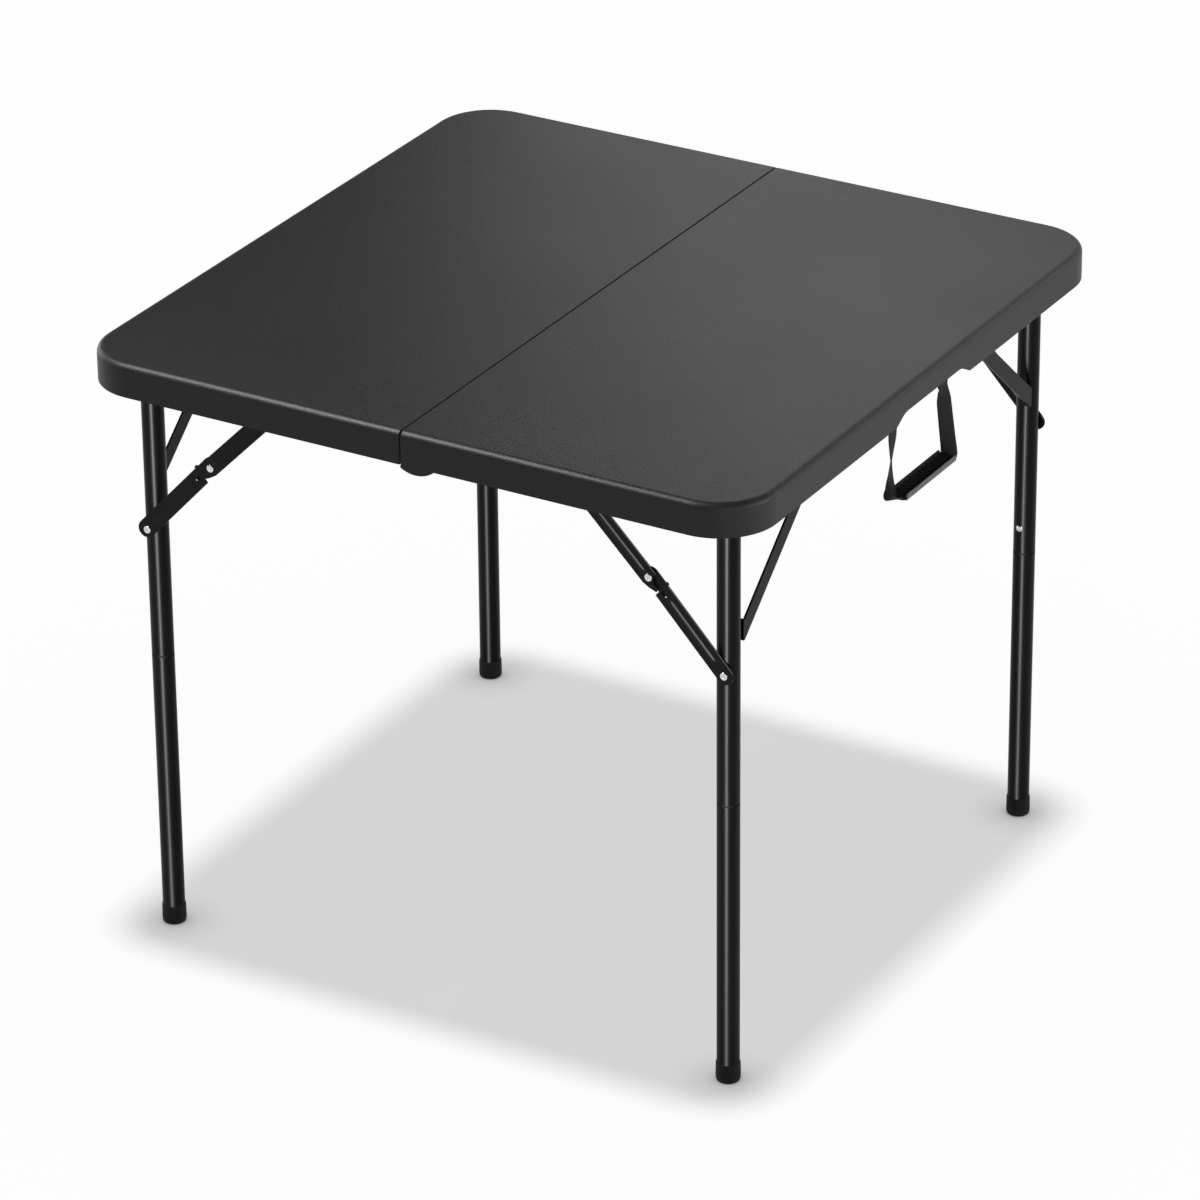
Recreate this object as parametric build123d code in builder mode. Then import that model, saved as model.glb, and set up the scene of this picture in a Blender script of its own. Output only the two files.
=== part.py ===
from build123d import *
import math
import os

# A square card table that folds in half. X runs across the seam, from the left half (negative) to the
# right half, which has the carry handle. Y runs along the seam, from front to rear. Z is up from the floor.
# Every piece is drawn at the right rear corner and mirrored to its own corner.

os.makedirs("parts", exist_ok=True)

# Overall sizes of the table
table_side = 863.6
table_height = 748
corner_radius = 70

# Hollow top: two halves with a thin web inside a deep apron
apron_height = 40
apron_wall = 12
web_thickness = 11
skin = 2.4
edge_fillet = 8
seam_gap = 1.0
seam_fillet = 1.5
seam_wall = 24
channel_half = 20.1
cut_overrun = 5

# Dimples that tie the two skins of the web together
dimple_mouth_radius = 9
dimple_tip_radius = 4
dimple_wall = 2
dimple_rows = 5
dimple_columns = 9
dimple_inset_x = 43.6
dimple_inset_y = 65.1

# Finger notch in the right apron
notch_centre = 5
notch_mouth = 178
notch_roof = 136
notch_height = 11.3
notch_roof_fillet = 25

# Round lug under each end of the right half's seam edge
lug_radius = 36.7
lug_centre_x = 19.7
lug_drop = 8.7

# Leg tubes
leg_inset_x = 58.2
leg_inset_y = 69.7
tube_radius = 13.2
tube_wall = 1.2
leg_split_drop = 367.8
bend_radius = 40
leg_stub = 15
fit_gap = 0.1
move_gap = 0.3

# Rubber foot
foot_radius = 14.4
foot_height = 24
foot_floor = 4
foot_fillet = 0.8

# Spigot of the lower leg and its snap button
spigot_length = 50
spigot_chamfer = 1.2
spigot_neck = 6
button_rise = 34.4
button_radius = 4.2
button_stand = 2.6
button_dome = 1.8
button_inset = 3
button_flange = 1.2
button_flange_radius = 5.4
clip_thickness = 0.6
clip_width = 8
clip_drop = 42
clip_bend_radius = 3

# Folding brace: two links outside the legs
brace_pivot_out = 3.2
brace_pivot_drop = 204.4
brace_knee_reach = 89
brace_knee_drop = 104.7
brace_anchor_reach = 192.8
link_thickness = 2
link_rib_width = 5
link_rib_height = 1.2
link_rib_margin = 17.6
lower_link_width = 22
lower_link_shift = 1.5
lower_rib_end = 33
shoulder_reach = 20
shoulder_inset = 3
knee_eye_radius = 7
tab_reach = 16
tab_length = 4
tab_height = 2
catch_reach = 23
catch_length = 6
catch_width = 3.5
upper_link_width = 21.5
upper_link_shift = 0.5
upper_rib_end = 7
tongue_reaches = (2.7, 3.6, 7.9, 17.2, 18.1, 0)
tongue_offsets = (-11.25, -5.4, -1.4, 0.5, 3.8, 10.25)
rivet_radius = 3
rivet_head_radius = 4.6
rivet_head_tip = 3.8
rivet_head_height = 1.2

# Diagonal gusset between leg and cross tube
gusset_width = 19
gusset_thickness = 2.5
gusset_foot_drop = 159
gusset_head_reach = 180.1
gusset_out = 11.6
gusset_flange = 14

# Saddle clamps that hold the cross tube
clamp_reach = 110.1
clamp_thickness = 2
clamp_width = 22
clamp_flange = 16

# Anchor bracket at the top of each brace
anchor_tab_half = 10
anchor_thickness = 2
anchor_flange = 18
anchor_screw_pitch = 24
anchor_length = 40

# Seam hinges
hinge_reach = 112.1
leaf_thickness = 1.6
leaf_length = 84
leaf_width = 22
knuckle_radius = 3.2
knuckle_share = 0.36
pin_radius = 1.6
pin_head_radius = 2.8
pin_head_height = 1.2
hinge_drop = 4.5
leaf_screw_pitch = 29

# Screws into the plastic
screw_radius = 1.9
screw_head_radius = 4
screw_head_tip = 3.2
screw_head_height = 1.6
screw_length = 8.2
boss_radius = 5

# Carry handle: webbing that hangs from a steel bar, with a moulded grip
bar_radius = 2.5
bar_inset = 17.4
bar_drop = 5.3
bar_end = 86
ear_thickness = 2
ear_half_width = 5
ear_base = 14
strap_width = 20
strap_thickness = 1.8
strap_fit = 0.15
strap_top_y = 62
strap_straight = 20
strap_length = 108
strap_corner_y = 68
strap_corner_radius = 5
twist_height_shares = (0, 0.15, 0.35, 0.6, 0.8, 0.92, 1)
twist_turn_shares = (0, 0.14, 0.24, 0.33, 0.55, 0.8, 1)
grip_inset = 14.8
grip_centre = 10
grip_length = 120
grip_wall = 1.6
grip_height = 8.8
grip_bottom_round = 2.4
grip_rib_count = 12
grip_rib_height = 0.9
grip_rib_width = 2.6
grip_rib_slant = 20

# Places that follow from the sizes above
half_side = table_side / 2
apron_bottom = table_height - apron_height
web_bottom = table_height - web_thickness
apron_inside = half_side - apron_wall
seam_face = seam_gap / 2
leg_x = half_side - leg_inset_x
leg_y = half_side - leg_inset_y
channel_from = leg_y - channel_half
dimple_field_x = leg_x / 2
dimple_pitch_x = (leg_x - dimple_inset_x) / dimple_rows
dimple_pitch_y = 2 * (leg_y - dimple_inset_y) / dimple_columns
pivot_height = web_bottom - foot_radius - 2 * move_gap
leg_split_height = pivot_height - leg_split_drop
axle_height = apron_bottom - hinge_drop
hinge_y = leg_y - hinge_reach
clamp_y = leg_y - clamp_reach
spigot_radius = tube_radius - tube_wall - fit_gap
link_inner = leg_y + foot_radius + move_gap
link_outer = link_inner + link_thickness
upper_link_inner = link_outer + link_rib_height + move_gap
upper_link_outer = upper_link_inner + link_thickness
brace_pivot_x = leg_x + brace_pivot_out
brace_pivot_height = pivot_height - brace_pivot_drop
brace_knee_x = leg_x - brace_knee_reach
brace_knee_height = pivot_height - brace_knee_drop
brace_anchor_x = leg_x - brace_anchor_reach
gusset_foot_height = pivot_height - gusset_foot_drop
gusset_head_y = leg_y - gusset_head_reach
button_height = leg_split_height + button_rise
bar_x = half_side - bar_inset
bar_height = apron_bottom + notch_height - bar_drop
grip_x = half_side - grip_inset
clamp_screw_x = tube_radius + clamp_thickness + clamp_flange / 2
gusset_x = leg_x + gusset_out - gusset_thickness
spigot_bore = spigot_radius - tube_wall
button_back = leg_y - spigot_bore + button_inset
strap_low = bar_height - strap_length
quarter_turn = 90
SIDES = {"left": -1, "right": 1}
ENDS = {"front": -1, "rear": 1}
LOWEST = (Align.CENTER, Align.CENTER, Align.MIN)


def mirror_to(side, end=1):
    """Carries the piece in the open builder from the right rear corner to its own corner."""
    if side < 0:
        mirror(about=Plane.YZ, mode=Mode.REPLACE)
    if end < 0:
        mirror(about=Plane.XZ, mode=Mode.REPLACE)


def finish(piece, name):
    """Labels a finished piece and writes it under its name."""
    piece.part.label = name
    export_step(piece.part, f"parts/{name}.step")


def across(y):
    """A plane across the table at this Y, seen from the front: its own axes are X and Z."""
    return Plane.XZ.offset(-y)


def screw_places():
    """Where the screws of the right half's rear end enter the web: X and Y of each."""
    places = [(leg_x - clamp_screw_x, clamp_y), (leg_x + clamp_screw_x, clamp_y)]
    y = upper_link_outer + move_gap + anchor_thickness + anchor_flange / 2
    for shift in (-anchor_screw_pitch / 2, anchor_screw_pitch / 2):
        places.append((brace_anchor_x + shift, y))
    return places


def bar_screw_places():
    """Where the screws of the handle's two ears enter the web."""
    reach = bar_end + ear_base / 2
    return [(bar_x, notch_centre - reach), (bar_x, notch_centre + reach)]


def leaf_screw_places():
    """Where the screws of the rear hinge leaf enter the right half's seam wall."""
    x = leaf_width / 2 + knuckle_radius
    return [(x, hinge_y + n * leaf_screw_pitch) for n in (-1, 0, 1)]


def outline(grow):
    """The half's outline on the open sketch, with every edge moved out by grow."""
    low = seam_face - grow
    width = half_side + grow - low
    with Locations((low + width / 2, 0)):
        Rectangle(width, table_side + 2 * grow)


def pocket(grow):
    """The space inside the apron on the open sketch, with a channel to the seam at its front and rear."""
    low = seam_face + seam_wall - grow
    width = apron_inside + grow - low
    outer = apron_inside + grow
    inner = channel_from - grow
    reach = low + cut_overrun
    with Locations((low + width / 2, 0)):
        Rectangle(width, 2 * outer)
    for end in (-1, 1):
        with Locations((low / 2, end * (outer + inner) / 2)):
            Rectangle(reach + cut_overrun, outer - inner)


def notch(grow):
    """The finger notch on the open sketch, in Y and Z, moved out by grow."""
    mouth, roof = notch_mouth / 2 + grow, notch_roof / 2 + grow
    top, low = apron_bottom + notch_height + grow, apron_bottom - cut_overrun
    Polygon(
        (notch_centre - mouth, apron_bottom),
        (notch_centre - roof, top),
        (notch_centre + roof, top),
        (notch_centre + mouth, apron_bottom),
        (notch_centre + mouth, low),
        (notch_centre - mouth, low),
        align=None,
    )


def make_cavity(side):
    """The air inside a hollow half: apron and web, less the walls, the dimples and the screw bosses."""
    with BuildPart() as cavity:
        with BuildSketch(Plane.XY.offset(apron_bottom + skin)) as air:
            outline(-skin)
            fillet(air.vertices().group_by(Axis.X)[-1], corner_radius - skin)
        extrude(amount=apron_height - 2 * skin)
        roof = cavity.faces().sort_by(Axis.Z)[-1].edges().sort_by(Axis.X)[1:]
        fillet(roof, edge_fillet - skin)
        with BuildSketch(Plane.XY.offset(apron_bottom - cut_overrun)) as space:
            pocket(skin)
            fillet(space.vertices().group_by(Axis.X)[-1], corner_radius - apron_wall + skin)
        extrude(amount=apron_height - web_thickness + skin + cut_overrun, mode=Mode.SUBTRACT)
        with Locations((dimple_field_x, 0, web_bottom)):
            with GridLocations(dimple_pitch_x, dimple_pitch_y, dimple_rows, dimple_columns):
                Cone(
                    dimple_mouth_radius + dimple_wall,
                    dimple_tip_radius + dimple_wall,
                    web_thickness,
                    align=LOWEST,
                    mode=Mode.SUBTRACT,
                )
        places = [(x, end * y) for x, y in screw_places() for end in (-1, 1)]
        places += [(x, end * y) for x, y in leaf_screw_places() for end in (-1, 1)]
        if side > 0:
            places += bar_screw_places()
        for x, y in places:
            with Locations((x, y, apron_bottom)):
                Cylinder(boss_radius, apron_height, align=LOWEST, mode=Mode.SUBTRACT)
        if side > 0:
            with BuildSketch(Plane.YZ.offset(apron_inside - 2 * skin)):
                notch(skin)
            extrude(amount=apron_wall + 3 * skin, mode=Mode.SUBTRACT)
    return cavity.part


def make_top(side_name, side):
    """One hollow half of the top: its apron, seam wall and dimples, and on the right the notch and lugs."""
    hollow = make_cavity(side)
    with BuildPart() as top:
        with BuildSketch(Plane.XY.offset(apron_bottom)) as plan:
            outline(0)
            fillet(plan.vertices().group_by(Axis.X)[-1], corner_radius)
        extrude(amount=apron_height)
        upper = top.faces().sort_by(Axis.Z)[-1].edges().sort_by(Axis.X)
        fillet(upper[1:], edge_fillet)
        seam_edges = top.faces().sort_by(Axis.Z)[-1].edges().sort_by(Axis.X)[0]
        fillet(seam_edges, seam_fillet)
        with BuildSketch(Plane.XY.offset(apron_bottom - cut_overrun)) as space:
            pocket(0)
            fillet(space.vertices().group_by(Axis.X)[-1], corner_radius - apron_wall)
        extrude(amount=apron_height - web_thickness + cut_overrun, mode=Mode.SUBTRACT)
        add(hollow, mode=Mode.SUBTRACT)
        with Locations((dimple_field_x, 0, web_bottom)):
            with GridLocations(dimple_pitch_x, dimple_pitch_y, dimple_rows, dimple_columns):
                Cone(
                    dimple_mouth_radius,
                    dimple_tip_radius,
                    web_thickness - skin,
                    align=LOWEST,
                    mode=Mode.SUBTRACT,
                )
        for x, y in screw_places():
            with Locations((x, y, web_bottom), (x, -y, web_bottom)):
                Cylinder(screw_radius, screw_length, align=LOWEST, mode=Mode.SUBTRACT)
        for x, y in leaf_screw_places():
            with Locations((x, y, apron_bottom), (x, -y, apron_bottom)):
                Cylinder(screw_radius, screw_length, align=LOWEST, mode=Mode.SUBTRACT)
        if side > 0:
            for x, y in bar_screw_places():
                with Locations((x, y, web_bottom)):
                    Cylinder(screw_radius, screw_length, align=LOWEST, mode=Mode.SUBTRACT)
            with BuildSketch(Plane.YZ.offset(apron_inside - skin)) as opening:
                notch(0)
                fillet(opening.vertices().group_by(Axis.Y)[-1], notch_roof_fillet)
            extrude(amount=apron_wall + 2 * skin, mode=Mode.SUBTRACT)
            with BuildSketch(across(half_side)):
                with Locations((lug_centre_x, apron_bottom - lug_drop + lug_radius)):
                    Circle(lug_radius)
                with Locations((lug_radius + seam_face, apron_bottom - lug_drop / 2)):
                    Rectangle(2 * lug_radius, lug_drop, mode=Mode.INTERSECT)
            extrude(amount=apron_wall)
            with BuildSketch(across(-half_side + apron_wall)):
                with Locations((lug_centre_x, apron_bottom - lug_drop + lug_radius)):
                    Circle(lug_radius)
                with Locations((lug_radius + seam_face, apron_bottom - lug_drop / 2)):
                    Rectangle(2 * lug_radius, lug_drop, mode=Mode.INTERSECT)
            extrude(amount=apron_wall)
        mirror_to(side)
    finish(top, f"{side_name}_top")


def make_upper_leg(corner, side, end):
    """The upper leg: a stub off the cross tube, a bend, and a straight tube down to the split."""
    with BuildPart() as leg:
        with BuildLine() as route:
            FilletPolyline(
                (leg_x, leg_y - bend_radius - leg_stub, pivot_height),
                (leg_x, leg_y, pivot_height),
                (leg_x, leg_y, leg_split_height),
                radius=bend_radius,
            )
        with BuildSketch(Plane(origin=route.line @ 0, z_dir=route.line % 0)):
            Circle(tube_radius)
            Circle(tube_radius - tube_wall, mode=Mode.SUBTRACT)
        sweep()
        with BuildSketch(across(leg_y)):
            with Locations((leg_x, button_height)):
                Circle(button_radius + fit_gap)
        extrude(amount=2 * tube_radius, mode=Mode.SUBTRACT)
        with BuildSketch(across(leg_y)):
            with Locations((brace_pivot_x, brace_pivot_height)):
                Circle(rivet_radius)
        extrude(amount=-2 * tube_radius, mode=Mode.SUBTRACT)
        mirror_to(side, end)
    finish(leg, f"{corner}_upper_leg")


def make_cross_tube(side_name, side):
    """The straight tube between the two bent legs, which turns in the saddle clamps."""
    with BuildPart() as tube:
        reach = leg_y - bend_radius - leg_stub
        with BuildSketch(across(reach)):
            with Locations((leg_x, pivot_height)):
                Circle(tube_radius)
                Circle(tube_radius - tube_wall, mode=Mode.SUBTRACT)
        extrude(amount=2 * reach)
        for end in (-1, 1):
            with Locations((brace_pivot_x, end * gusset_head_y, pivot_height - 2 * tube_radius)):
                Cylinder(rivet_radius, 2 * tube_radius, align=LOWEST, mode=Mode.SUBTRACT)
        mirror_to(side)
    finish(tube, f"{side_name}_cross_tube")


def make_gusset(corner, side, end):
    """The diagonal bar from leg to cross tube: its flanges are welded below and riveted above."""
    wall_y = leg_y - tube_radius - fit_gap
    wall_z = pivot_height - tube_radius - fit_gap
    rise = wall_z - gusset_thickness - gusset_foot_height
    slope = math.atan2(rise, wall_y - gusset_thickness - gusset_head_y)
    half_tall = gusset_width / 2 / math.cos(slope)
    half_long = gusset_width / 2 / math.sin(slope)
    high = gusset_foot_height + half_tall
    flange_x = gusset_x + gusset_thickness - gusset_flange / 2
    with BuildPart() as gusset:
        with BuildSketch(Plane.YZ.offset(gusset_x)):
            with BuildLine():
                Polyline(
                    (wall_y, gusset_foot_height - half_tall),
                    (wall_y, high),
                    (wall_y - gusset_thickness, high),
                    (gusset_head_y + half_long, wall_z - gusset_thickness),
                    (gusset_head_y + half_long, wall_z),
                    (gusset_head_y - half_long, wall_z),
                    (gusset_head_y - half_long, wall_z - gusset_thickness),
                    (wall_y - gusset_thickness, gusset_foot_height - half_tall),
                    close=True,
                )
            make_face()
        extrude(amount=gusset_thickness)
        with BuildSketch(across(wall_y)):
            with Locations((flange_x, gusset_foot_height)):
                Rectangle(gusset_flange, 2 * half_tall)
        extrude(amount=gusset_thickness)
        with BuildSketch(Plane.XY.offset(wall_z - gusset_thickness)):
            with Locations((flange_x, gusset_head_y)):
                Rectangle(gusset_flange, 2 * half_long)
            with Locations((brace_pivot_x, gusset_head_y)):
                Circle(rivet_radius, mode=Mode.SUBTRACT)
        extrude(amount=gusset_thickness)
        mirror_to(side, end)
    finish(gusset, f"{corner}_gusset")


def rivet_head(centre, direction):
    """A low rivet head in the open part that rises from its centre along direction and narrows upwards."""
    with Locations(Plane(origin=centre, z_dir=direction)):
        Cone(rivet_head_radius, rivet_head_tip, rivet_head_height, align=LOWEST)


def make_frame_rivets(side_name, side):
    """The four rivets of one leg frame: two blind brace pivots with a collar, and two under the tube."""
    reach = brace_pivot_out + rivet_head_radius
    inner = leg_y + math.sqrt((tube_radius - tube_wall) ** 2 - reach**2) - fit_gap
    under = pivot_height - tube_radius - fit_gap - gusset_thickness
    grip = gusset_thickness + fit_gap + 2 * tube_wall
    with BuildPart() as rivets:
        with BuildSketch(across(inner)):
            with Locations((brace_pivot_x, brace_pivot_height)):
                Circle(rivet_radius)
        extrude(amount=inner - link_outer)
        with BuildSketch(across(link_inner - fit_gap)):
            with Locations((brace_pivot_x, brace_pivot_height)):
                Circle(rivet_head_radius)
        extrude(amount=link_inner - leg_y - tube_radius - 2 * fit_gap)
        rivet_head((brace_pivot_x, inner, brace_pivot_height), (0, -1, 0))
        rivet_head((brace_pivot_x, link_outer, brace_pivot_height), (0, 1, 0))
        with Locations((brace_pivot_x, gusset_head_y, under)):
            Cylinder(rivet_radius, grip, align=LOWEST)
        rivet_head((brace_pivot_x, gusset_head_y, under), (0, 0, -1))
        mirror(about=Plane.XZ)
        mirror_to(side)
    finish(rivets, f"{side_name}_frame_rivets")


def along(start, stop, places):
    """Turns places along the line from start to stop, and across to its right, into X and Z."""
    run, rise = stop[0] - start[0], stop[1] - start[1]
    span = math.hypot(run, rise)
    run, rise = run / span, rise / span
    return [(start[0] + a * run + b * rise, start[1] + a * rise - b * run) for a, b in places]


def band(start, stop, first, last, width, shift):
    """A round ended strip on the open sketch between two places on the line from start to stop."""
    ends = along(start, stop, [(first, shift), (last, shift)])
    angle = math.degrees(math.atan2(ends[1][1] - ends[0][1], ends[1][0] - ends[0][0]))
    with Locations(((ends[0][0] + ends[1][0]) / 2, (ends[0][1] + ends[1][1]) / 2)):
        SlotCenterToCenter(last - first, width, rotation=angle)


def make_lower_link(corner, side, end):
    """The link on the leg: a ribbed strip with a shoulder, a tab and a catch slot short of its knee eye."""
    foot = (brace_pivot_x, brace_pivot_height)
    knee = (brace_knee_x, brace_knee_height)
    span = math.dist(foot, knee)
    edge = lower_link_shift + lower_link_width / 2
    cut = [(span - shoulder_reach, -shoulder_inset), (span - shoulder_reach, -lower_link_width)]
    cut += [(span + lower_link_width, -lower_link_width), (span + lower_link_width, -shoulder_inset)]
    tab_end = tab_reach + tab_length
    tab = [(span - tab_reach, edge - tab_height), (span - tab_reach, edge + tab_height)]
    tab += [(span - tab_end, edge + tab_height), (span - tab_end, edge - tab_height)]
    catch = [(span - catch_reach, lower_link_shift)]
    catch += [(span - catch_reach - catch_length + catch_width, lower_link_shift)]
    with BuildPart() as link:
        with BuildSketch(across(link_outer)):
            band(foot, knee, 0, span, lower_link_width, lower_link_shift)
            Polygon(*along(foot, knee, cut), align=None, mode=Mode.SUBTRACT)
            Polygon(*along(foot, knee, tab), align=None)
            with Locations(knee):
                Circle(knee_eye_radius)
            with Locations(*along(foot, knee, catch)):
                Circle(catch_width / 2, mode=Mode.SUBTRACT)
            with Locations(foot):
                Circle(rivet_radius + fit_gap, mode=Mode.SUBTRACT)
        extrude(amount=link_thickness)
        with BuildSketch(across(link_outer + link_rib_height)):
            band(foot, knee, link_rib_margin, span - lower_rib_end, link_rib_width, lower_link_shift)
        extrude(amount=link_rib_height)
        mirror_to(side, end)
    finish(link, f"{corner}_lower_link")


def make_upper_link(corner, side, end):
    """The link under the top: a ribbed strip that ends past the knee in a tapered tongue."""
    knee = (brace_knee_x, brace_knee_height)
    anchor = (brace_anchor_x, pivot_height)
    span = math.dist(anchor, knee)
    reach = [span + step for step in tongue_reaches]
    plan = list(zip(reach, tongue_offsets))
    plan += [(0, tongue_offsets[-1]), (0, tongue_offsets[0])]
    with BuildPart() as link:
        with BuildSketch(across(upper_link_outer)):
            Polygon(*along(anchor, knee, plan), align=None)
            with Locations(*along(anchor, knee, [(0, -upper_link_shift)])):
                Circle(upper_link_width / 2)
            with Locations(anchor, knee):
                Circle(rivet_radius + fit_gap, mode=Mode.SUBTRACT)
        extrude(amount=link_thickness)
        with BuildSketch(across(upper_link_outer + link_rib_height)):
            band(anchor, knee, link_rib_margin, span - upper_rib_end, link_rib_width, -upper_link_shift)
        extrude(amount=link_rib_height)
        mirror_to(side, end)
    finish(link, f"{corner}_upper_link")


def make_knee_rivet(corner, side, end):
    """The knee rivet on the upper link."""
    with BuildPart() as rivet:
        with BuildSketch(across(upper_link_outer)):
            with Locations((brace_knee_x, brace_knee_height)):
                Circle(rivet_radius + fit_gap)
        extrude(amount=link_thickness)
        rivet_head((brace_knee_x, upper_link_outer, brace_knee_height), (0, 1, 0))
        mirror_to(side, end)
    finish(rivet, f"{corner}_knee_rivet")


def make_anchor(corner, side, end):
    """The bracket under the web that carries the brace's upper pivot."""
    inner = upper_link_outer + move_gap
    outer = inner + anchor_thickness
    with BuildPart() as anchor:
        with BuildSketch(across(outer)):
            with Locations((brace_anchor_x, pivot_height)):
                Circle(anchor_tab_half)
            with Locations((brace_anchor_x, (pivot_height + web_bottom) / 2)):
                Rectangle(2 * anchor_tab_half, web_bottom - pivot_height)
            with Locations((brace_anchor_x, web_bottom - anchor_thickness / 2)):
                Rectangle(anchor_length, anchor_thickness)
            with Locations((brace_anchor_x, pivot_height)):
                Circle(rivet_radius, mode=Mode.SUBTRACT)
        extrude(amount=anchor_thickness)
        with BuildSketch(Plane.XY.offset(web_bottom - anchor_thickness)):
            with Locations((brace_anchor_x, outer + anchor_flange / 2)):
                Rectangle(anchor_length, anchor_flange)
            for shift in (-anchor_screw_pitch / 2, anchor_screw_pitch / 2):
                with Locations((brace_anchor_x + shift, outer + anchor_flange / 2)):
                    Circle(screw_radius, mode=Mode.SUBTRACT)
        extrude(amount=anchor_thickness)
        mirror_to(side, end)
    finish(anchor, f"{corner}_brace_anchor")


def make_anchor_rivets(side_name, side):
    """The two rivets at the braces' upper pivots."""
    outer = upper_link_outer + move_gap + anchor_thickness
    with BuildPart() as rivets:
        with BuildSketch(across(outer)):
            with Locations((brace_anchor_x, pivot_height)):
                Circle(rivet_radius)
        extrude(amount=outer - upper_link_inner)
        rivet_head((brace_anchor_x, outer, pivot_height), (0, 1, 0))
        rivet_head((brace_anchor_x, upper_link_inner, pivot_height), (0, -1, 0))
        mirror(about=Plane.XZ)
        mirror_to(side)
    finish(rivets, f"{side_name}_anchor_rivets")


def make_clamps(side_name, side):
    """The two clamps under the web in which the cross tube turns."""
    bore = tube_radius + fit_gap
    shell = bore + clamp_thickness
    roof = web_bottom - pivot_height
    with BuildPart() as clamps:
        with BuildSketch(across(clamp_y)):
            with Locations((leg_x, pivot_height)):
                Circle(shell)
            with Locations((leg_x, pivot_height + roof / 2)):
                Rectangle(2 * shell, roof)
            with Locations((leg_x, web_bottom - clamp_thickness / 2)):
                Rectangle(2 * (shell + clamp_flange), clamp_thickness)
            with Locations((leg_x, pivot_height)):
                Circle(bore, mode=Mode.SUBTRACT)
            with Locations((leg_x, web_bottom + clamp_thickness)):
                Rectangle(2 * shell, 2 * clamp_thickness, mode=Mode.SUBTRACT)
        extrude(amount=clamp_width / 2, both=True)
        for x in (leg_x - clamp_screw_x, leg_x + clamp_screw_x):
            with Locations((x, clamp_y, web_bottom - clamp_thickness)):
                Cylinder(screw_radius, clamp_thickness, align=LOWEST, mode=Mode.SUBTRACT)
        mirror(about=Plane.XZ)
        mirror_to(side)
    finish(clamps, f"{side_name}_pivot_clamps")


def make_screws(side_name, side):
    """Every screw of one half: clamps, anchors, hinge leaves, and on the right the handle's ears."""
    with BuildPart() as screws:
        places = []
        for x, y in screw_places():
            places += [(x, end * y, web_bottom - clamp_thickness) for end in (-1, 1)]
        for x, y in leaf_screw_places():
            places += [(x, end * y, apron_bottom - leaf_thickness) for end in (-1, 1)]
        if side > 0:
            places += [(x, y, web_bottom - ear_thickness) for x, y in bar_screw_places()]
        for x, y, z in places:
            with Locations((x, y, z)):
                Cylinder(screw_radius, screw_length, align=LOWEST)
            with Locations((x, y, z - screw_head_height)):
                Cone(screw_head_tip, screw_head_radius, screw_head_height, align=LOWEST)
        mirror_to(side)
    finish(screws, f"{side_name}_screws")


def make_hinge_leaves(side_name, side):
    """The hinge leaves of one half: the right ones have the middle knuckle, the left ones the outer two."""
    middle = leaf_length * knuckle_share
    outer = (leaf_length - middle) / 2
    if side > 0:
        own, other = [(0, middle)], [(-1, outer), (1, outer)]
    else:
        own, other = [(-1, outer), (1, outer)], [(0, middle)]
    with BuildPart() as leaves:
        with BuildSketch(Plane.XY.offset(apron_bottom - leaf_thickness)):
            with Locations((seam_face + leaf_width / 2, hinge_y)):
                Rectangle(leaf_width, leaf_length)
            for x, y in leaf_screw_places():
                with Locations((x, y)):
                    Circle(screw_radius, mode=Mode.SUBTRACT)
        extrude(amount=leaf_thickness)
        for place, length in other:
            shift = place * (middle + length) / 2
            with BuildSketch(across(hinge_y + shift)):
                with Locations((0, axle_height)):
                    Circle(knuckle_radius + move_gap)
            extrude(amount=length / 2 + move_gap / 2, both=True, mode=Mode.SUBTRACT)
        for place, length in own:
            shift = place * (middle + length) / 2
            with BuildSketch(across(hinge_y + shift)):
                with Locations((0, axle_height)):
                    Circle(knuckle_radius)
                with Locations((seam_face + knuckle_radius / 2, (axle_height + apron_bottom) / 2)):
                    Rectangle(knuckle_radius, apron_bottom - axle_height)
                with Locations((0, axle_height)):
                    Circle(pin_radius + fit_gap / 2, mode=Mode.SUBTRACT)
            extrude(amount=length / 2 - move_gap / 2, both=True)
        mirror(about=Plane.XZ)
        mirror_to(side)
    finish(leaves, f"{side_name}_hinge_leaves")


def make_hinge_pins():
    """The two pins of the seam hinges, each with a head at both ends."""
    with BuildPart() as pins:
        with BuildSketch(across(hinge_y)):
            with Locations((0, axle_height)):
                Circle(pin_radius)
        extrude(amount=leaf_length / 2, both=True)
        for end in (-1, 1):
            with BuildSketch(across(hinge_y + end * (leaf_length + pin_head_height) / 2)):
                with Locations((0, axle_height)):
                    Circle(pin_head_radius)
            extrude(amount=pin_head_height / 2, both=True)
        mirror(about=Plane.XZ)
    finish(pins, "hinge_pins")


def make_lower_leg(corner, side, end):
    """The pull-off lower leg: a tube of the upper leg's size with a narrower spigot at its top."""
    neck = leg_split_height - spigot_neck
    with BuildPart() as leg:
        with Locations((leg_x, leg_y, foot_floor)):
            Cylinder(tube_radius, leg_split_height - foot_floor, align=LOWEST)
        with Locations((leg_x, leg_y, leg_split_height)):
            Cylinder(spigot_radius, spigot_length, align=LOWEST)
        chamfer(leg.edges().sort_by(Axis.Z)[-1], spigot_chamfer)
        with Locations((leg_x, leg_y, foot_floor)):
            Cylinder(tube_radius - tube_wall, neck - foot_floor, align=LOWEST, mode=Mode.SUBTRACT)
        with Locations((leg_x, leg_y, neck)):
            Cylinder(spigot_bore, spigot_neck + spigot_length, align=LOWEST, mode=Mode.SUBTRACT)
        with BuildSketch(across(leg_y)):
            with Locations((leg_x, button_height)):
                Circle(button_radius + fit_gap)
        extrude(amount=2 * tube_radius, mode=Mode.SUBTRACT)
        mirror_to(side, end)
    finish(leg, f"{corner}_lower_leg")


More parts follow.
